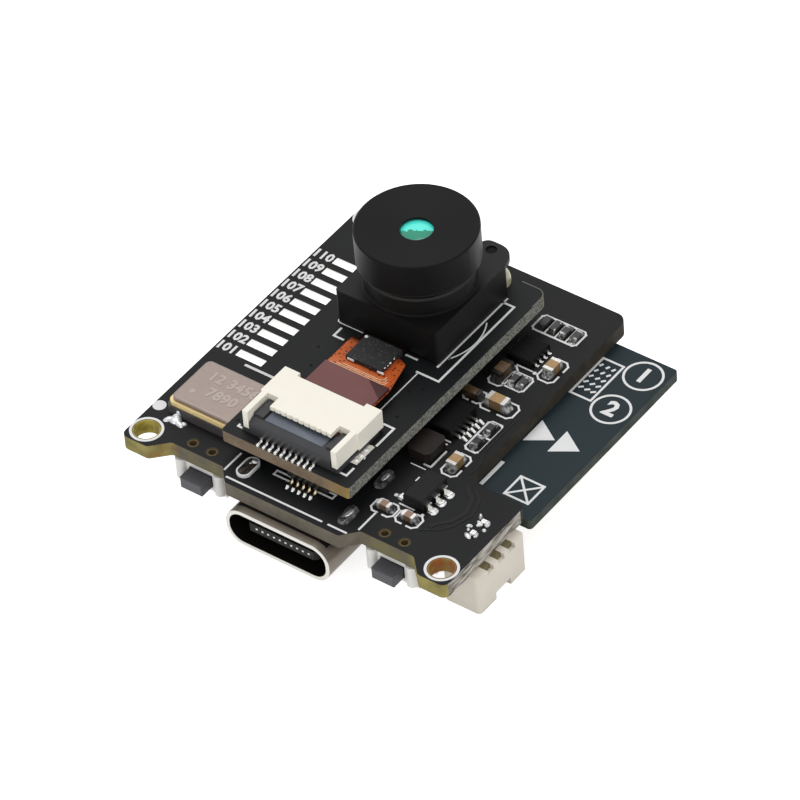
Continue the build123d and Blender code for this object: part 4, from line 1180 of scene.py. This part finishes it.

# %% [markdown]
# The flex is orange polyimide film over copper. The copper shows through as a lighter stretch
# near the connector and as a stipple of small dark dots, which are the cells of a Voronoi
# pattern, and where the film dives under the camera it is painted dark as shade. Where it is
# stiffened it is a glossy red-brown, with a corner that holds a painted reflection of something
# darker beyond a slanting line.

# %% Flex film and stiffener
flex = Paint("flex_orange", (0.55, 0.16, 0.03), 0.35, Specular_IOR_Level=0.2)
cells = flex.node("TexVoronoi", {}, {"Vector": flex.place(), "Scale": 3.4})
copper = flex.mix(flex.noise(0.5, 2), (0.4, 0.052, 0.004), (0.66, 0.155, 0.035))
routed = flex.mask((10.5 - flex.axis(1)) * 1.4) * (flex.axis(0) < 1.05)
copper = flex.mix(routed * 0.4, copper, (0.72, 0.26, 0.1))
stipple = flex.ramp(cells, [(0.22, (0.16, 0.035, 0.02)), (0.4, WHITE)])
film = flex.node("Mix", {"data_type": "RGBA", "blend_type": "MULTIPLY"},
                 {0: 0.85, 6: copper, 7: stipple}, output=2)
painted_shade_under_camera = flex.mask((flex.axis(1) - 12.0) * 1.6)
# Painted shade where the flex dives under the camera.
flex.set("Base Color", flex.mix(painted_shade_under_camera, film, (0.012, 0.006, 0.004)))
flex.relief(cells, 0.00003, 0.4)

stiffener = Paint("stiffener_brown", (0.13, 0.05, 0.045), 0.3, Specular_IOR_Level=0.3)
tone = stiffener.mix(stiffener.noise(0.4, 4), (0.15, 0.05, 0.048), (0.19, 0.072, 0.068))
reflection_slant = (stiffener.axis(0) - 0.11) * 0.99 + (stiffener.axis(1) - 9.3) * 1.37
# Painted reflection: a darker corner beyond a slanting line.
stiffener.set("Base Color", stiffener.mix(reflection_slant > 0, tone, (0.055, 0.014, 0.014)))
print(len(materials), "materials so far")

# %% [markdown]
# The front glass has a coating that mirrors blue-green light. A painted reflection makes its far
# half bright, as if it caught the surroundings, and its near half a deeper green, with a jagged line
# between them. The filter inside is plainer, and the glue behind the camera is a pale, uneven drop.

# %% Coated glass, filter and glue
glass = Paint("coated_glass", (0.04, 0.6, 0.48), 0.08, Coat_Weight=0.4)
ragged_reflection_edge = (glass.noise(3.2, 5) - 0.5) * 0.7
away = glass.axis(1) * 0.84 - glass.axis(0) * 0.53
# Painted reflection: the far half bright, the near half a deeper green.
glass.set("Base Color", glass.mix(away + ragged_reflection_edge > 16.5, (0.0, 0.3, 0.18), (0.1, 0.98, 0.83)))

wear(Paint("filter_glass", (0.2, 0.45, 0.5), 0.06), (0.16, 0.4, 0.46), (0.26, 0.5, 0.55), 0.5)

glue = Paint("pale_glue", (0.62, 0.56, 0.34), 0.25)
wear(glue, (0.37, 0.34, 0.2), (0.5, 0.46, 0.31), 2.0)
glue.relief(glue.noise(3, 2), 0.00004, 0.4)
print(len(materials), "materials so far")

# %% [markdown]
# Each material now goes to its pieces. The solids of the model and the pieces made above stand in
# one list, material by material, so that it is easy to see which of them look alike.

# %% Finish of every piece
finishes = {
    "black_board": "main_board",
    "camera_board_laminate": "camera_board sensor_board",
    "radio_board_laminate": "radio_board",
    "connector_black": "flex_housing",
    "socket_black": "stack_socket stack_plug",
    "tongue_black": "usb_tongue",
    "chip_black": "radio_chip charger_body logic_body",
    "regulator_black": "regulator_body",
    "flex_chip_black": "flex_chip",
    "ferrite_brown": "inductor",
    "lens_black": "lens_barrel",
    "holder_black": "camera_holder",
    "hole_black": "plated_holes ear_plug",
    "track_mask": "raised_tracks",
    "worn_coating": "worn_edge",
    "band_grey": "connector_band",
    "plunger_grey": "left_switch_plunger right_switch_plunger",
    "slider_cream": "flex_slider",
    "housing_white": "wire_socket_housing",
    "switch_white": "left_switch_body right_switch_body",
    "white_print_and_highlight": "main_board_print camera_board_print radio_board_print flex_marks",
    "resin_gold": "hole_sleeves",
    "dark_resin": "peg_hole_sleeves",
    "olive_resin": "resin_fills",
    "shell_steel": "usb_shell",
    "shield_steel": "radio_shield",
    "cover_steel": "left_switch_cover right_switch_cover",
    "tin_plating": "wire_socket_pins flex_contacts flex_solder_tabs regulator_leads charger_leads"
                   " logic_leads",
    "bright_tin": "bright_leads tongue_contacts",
    "end_tin": "capacitor_ends",
    "pad_tin": "edge_pads",
    "pool_metal": "usb_solder",
    "toe_solder": "resistor_ends shaded_capacitor_end solder_toes",
    "solder_metal": "wire_socket_solder pin_solder solder_joints connector_solder",
    "gold_plating": "oscillator_ring radio_antenna",
    "pin_gold": "stack_leads usb_contacts",
    "dull_gold": "hole_collars",
    "lid_metal": "oscillator_lid",
    "lid_ink": "lid_marks",
    "base_ceramic": "oscillator_base",
    "capacitor_brown": "capacitor_bodies shaded_capacitor",
    "resistor_black": "resistor_bodies",
    "silicon": "image_sensor",
    "flex_orange": "camera_flex",
    "stiffener_brown": "flex_stiffener",
    "trace_copper": "flex_traces",
    "coated_glass": "front_glass rear_glass",
    "filter_glass": "infrared_filter",
    "pale_glue": "camera_glue",
}
finish_of = {piece: name for name, pieces in finishes.items() for piece in pieces.split()}
for solid in list(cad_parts.values()) + made:
    solid.data.materials.clear()
    solid.data.materials.append(materials[finish_of[solid.name]])
print(len(finish_of), "pieces,", len(finishes), "materials")

# %% [markdown]
# ## Light
# The sky is an even white wherever it is seen, straight, in a mirror or through glass. As a light
# it is only about half as strong, because a full white sky would wash out every shadow. The kind
# of ray that meets the sky decides which of the two it gets.

# %% Sky
SKY_LIGHT = 0.55
SKY_SEEN = 1.0
world = bpy.data.worlds.new("studio")
bpy.context.scene.world = world
world.use_nodes = True
tree = world.node_tree
sky = tree.nodes["Background"]
sky.inputs["Color"].default_value = (1, 1, 1, 1)
rays = tree.nodes.new("ShaderNodeLightPath")
seen = rays.outputs["Is Camera Ray"]
for kind in ("Is Transmission Ray", "Is Glossy Ray"):
    either = tree.nodes.new("ShaderNodeMath")
    either.operation = "MAXIMUM"
    tree.links.new(seen, either.inputs[0])
    tree.links.new(rays.outputs[kind], either.inputs[1])
    seen = either.outputs[0]
strength = tree.nodes.new("ShaderNodeMapRange")
strength.inputs["To Min"].default_value = SKY_LIGHT
strength.inputs["To Max"].default_value = SKY_SEEN
tree.links.new(seen, strength.inputs["Value"])
tree.links.new(strength.outputs[0], sky.inputs["Strength"])
print("sky:", SKY_LIGHT, "as a light,", SKY_SEEN, "when seen")

# %% [markdown]
# Three square lamps shape the module: a wide soft one above, and weaker ones at the right and in
# front. A point lamp would be simpler, but its shadows would have hard edges.

# %% Lamps


def lamp(name, place, size, power):
    """A square soft lamp that looks at the module."""
    light = bpy.data.lights.new(name, "AREA")
    light.size = size
    light.energy = power
    stand = bpy.data.objects.new(name, light)
    bpy.context.scene.collection.objects.link(stand)
    stand.location = place
    aim = Vector((0, 0.012, 0)) - Vector(place)
    stand.rotation_euler = aim.to_track_quat("-Z", "Y").to_euler()


lamp("overhead_lamp", (-0.12, 0.1, 0.42), 0.3, 0.75)
lamp("right_lamp", (0.4, 0.0, 0.16), 0.2, 0.25)
lamp("front_lamp", (0.04, -0.42, 0.13), 0.25, 0.33)
print(len(bpy.data.lights), "lamps")

# %% [markdown]
# The floor is a large plane just under the module. It keeps a faint shadow, and to be as white as
# the sky it glows a little, but only where it is seen, so that it doesn't light the parts from
# below.

# %% Floor
JUST_BELOW = 0.00001
begin()
bpy.ops.mesh.primitive_plane_add(size=4, location=(0, 0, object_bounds()[0][2] - JUST_BELOW))
floor = bpy.context.object
floor.name = "floor"
apply_place(floor)
floor_paint = Paint("white_floor", (0.85, 0.85, 0.85), 0.9)
direct = floor_paint.node("LightPath", output=0)
mirrored = floor_paint.node("LightPath", output=3)
passed = floor_paint.node("LightPath", output=6)
glow = floor_paint.maths("MINIMUM", direct + mirrored + passed, 1)
floor_paint.set("Emission Color", floor_paint.mix(glow, BLACK, (0.75, 0.75, 0.75)))
floor_paint.set("Emission Strength", 1)
floor.data.materials.append(floor_paint.material)
begin()
print("floor at", round(floor.data.vertices[0].co.z / MM, 2), "mm")

# %% [markdown]
# The last cell removes the shapes that were only there to be copied, and sets the plain view
# transform, because the default one would turn the white floor grey.

# %% Clean up and view transform
for base in (bar, stud, drop, toe):
    remove(base)
bpy.context.scene.view_settings.view_transform = "Standard"
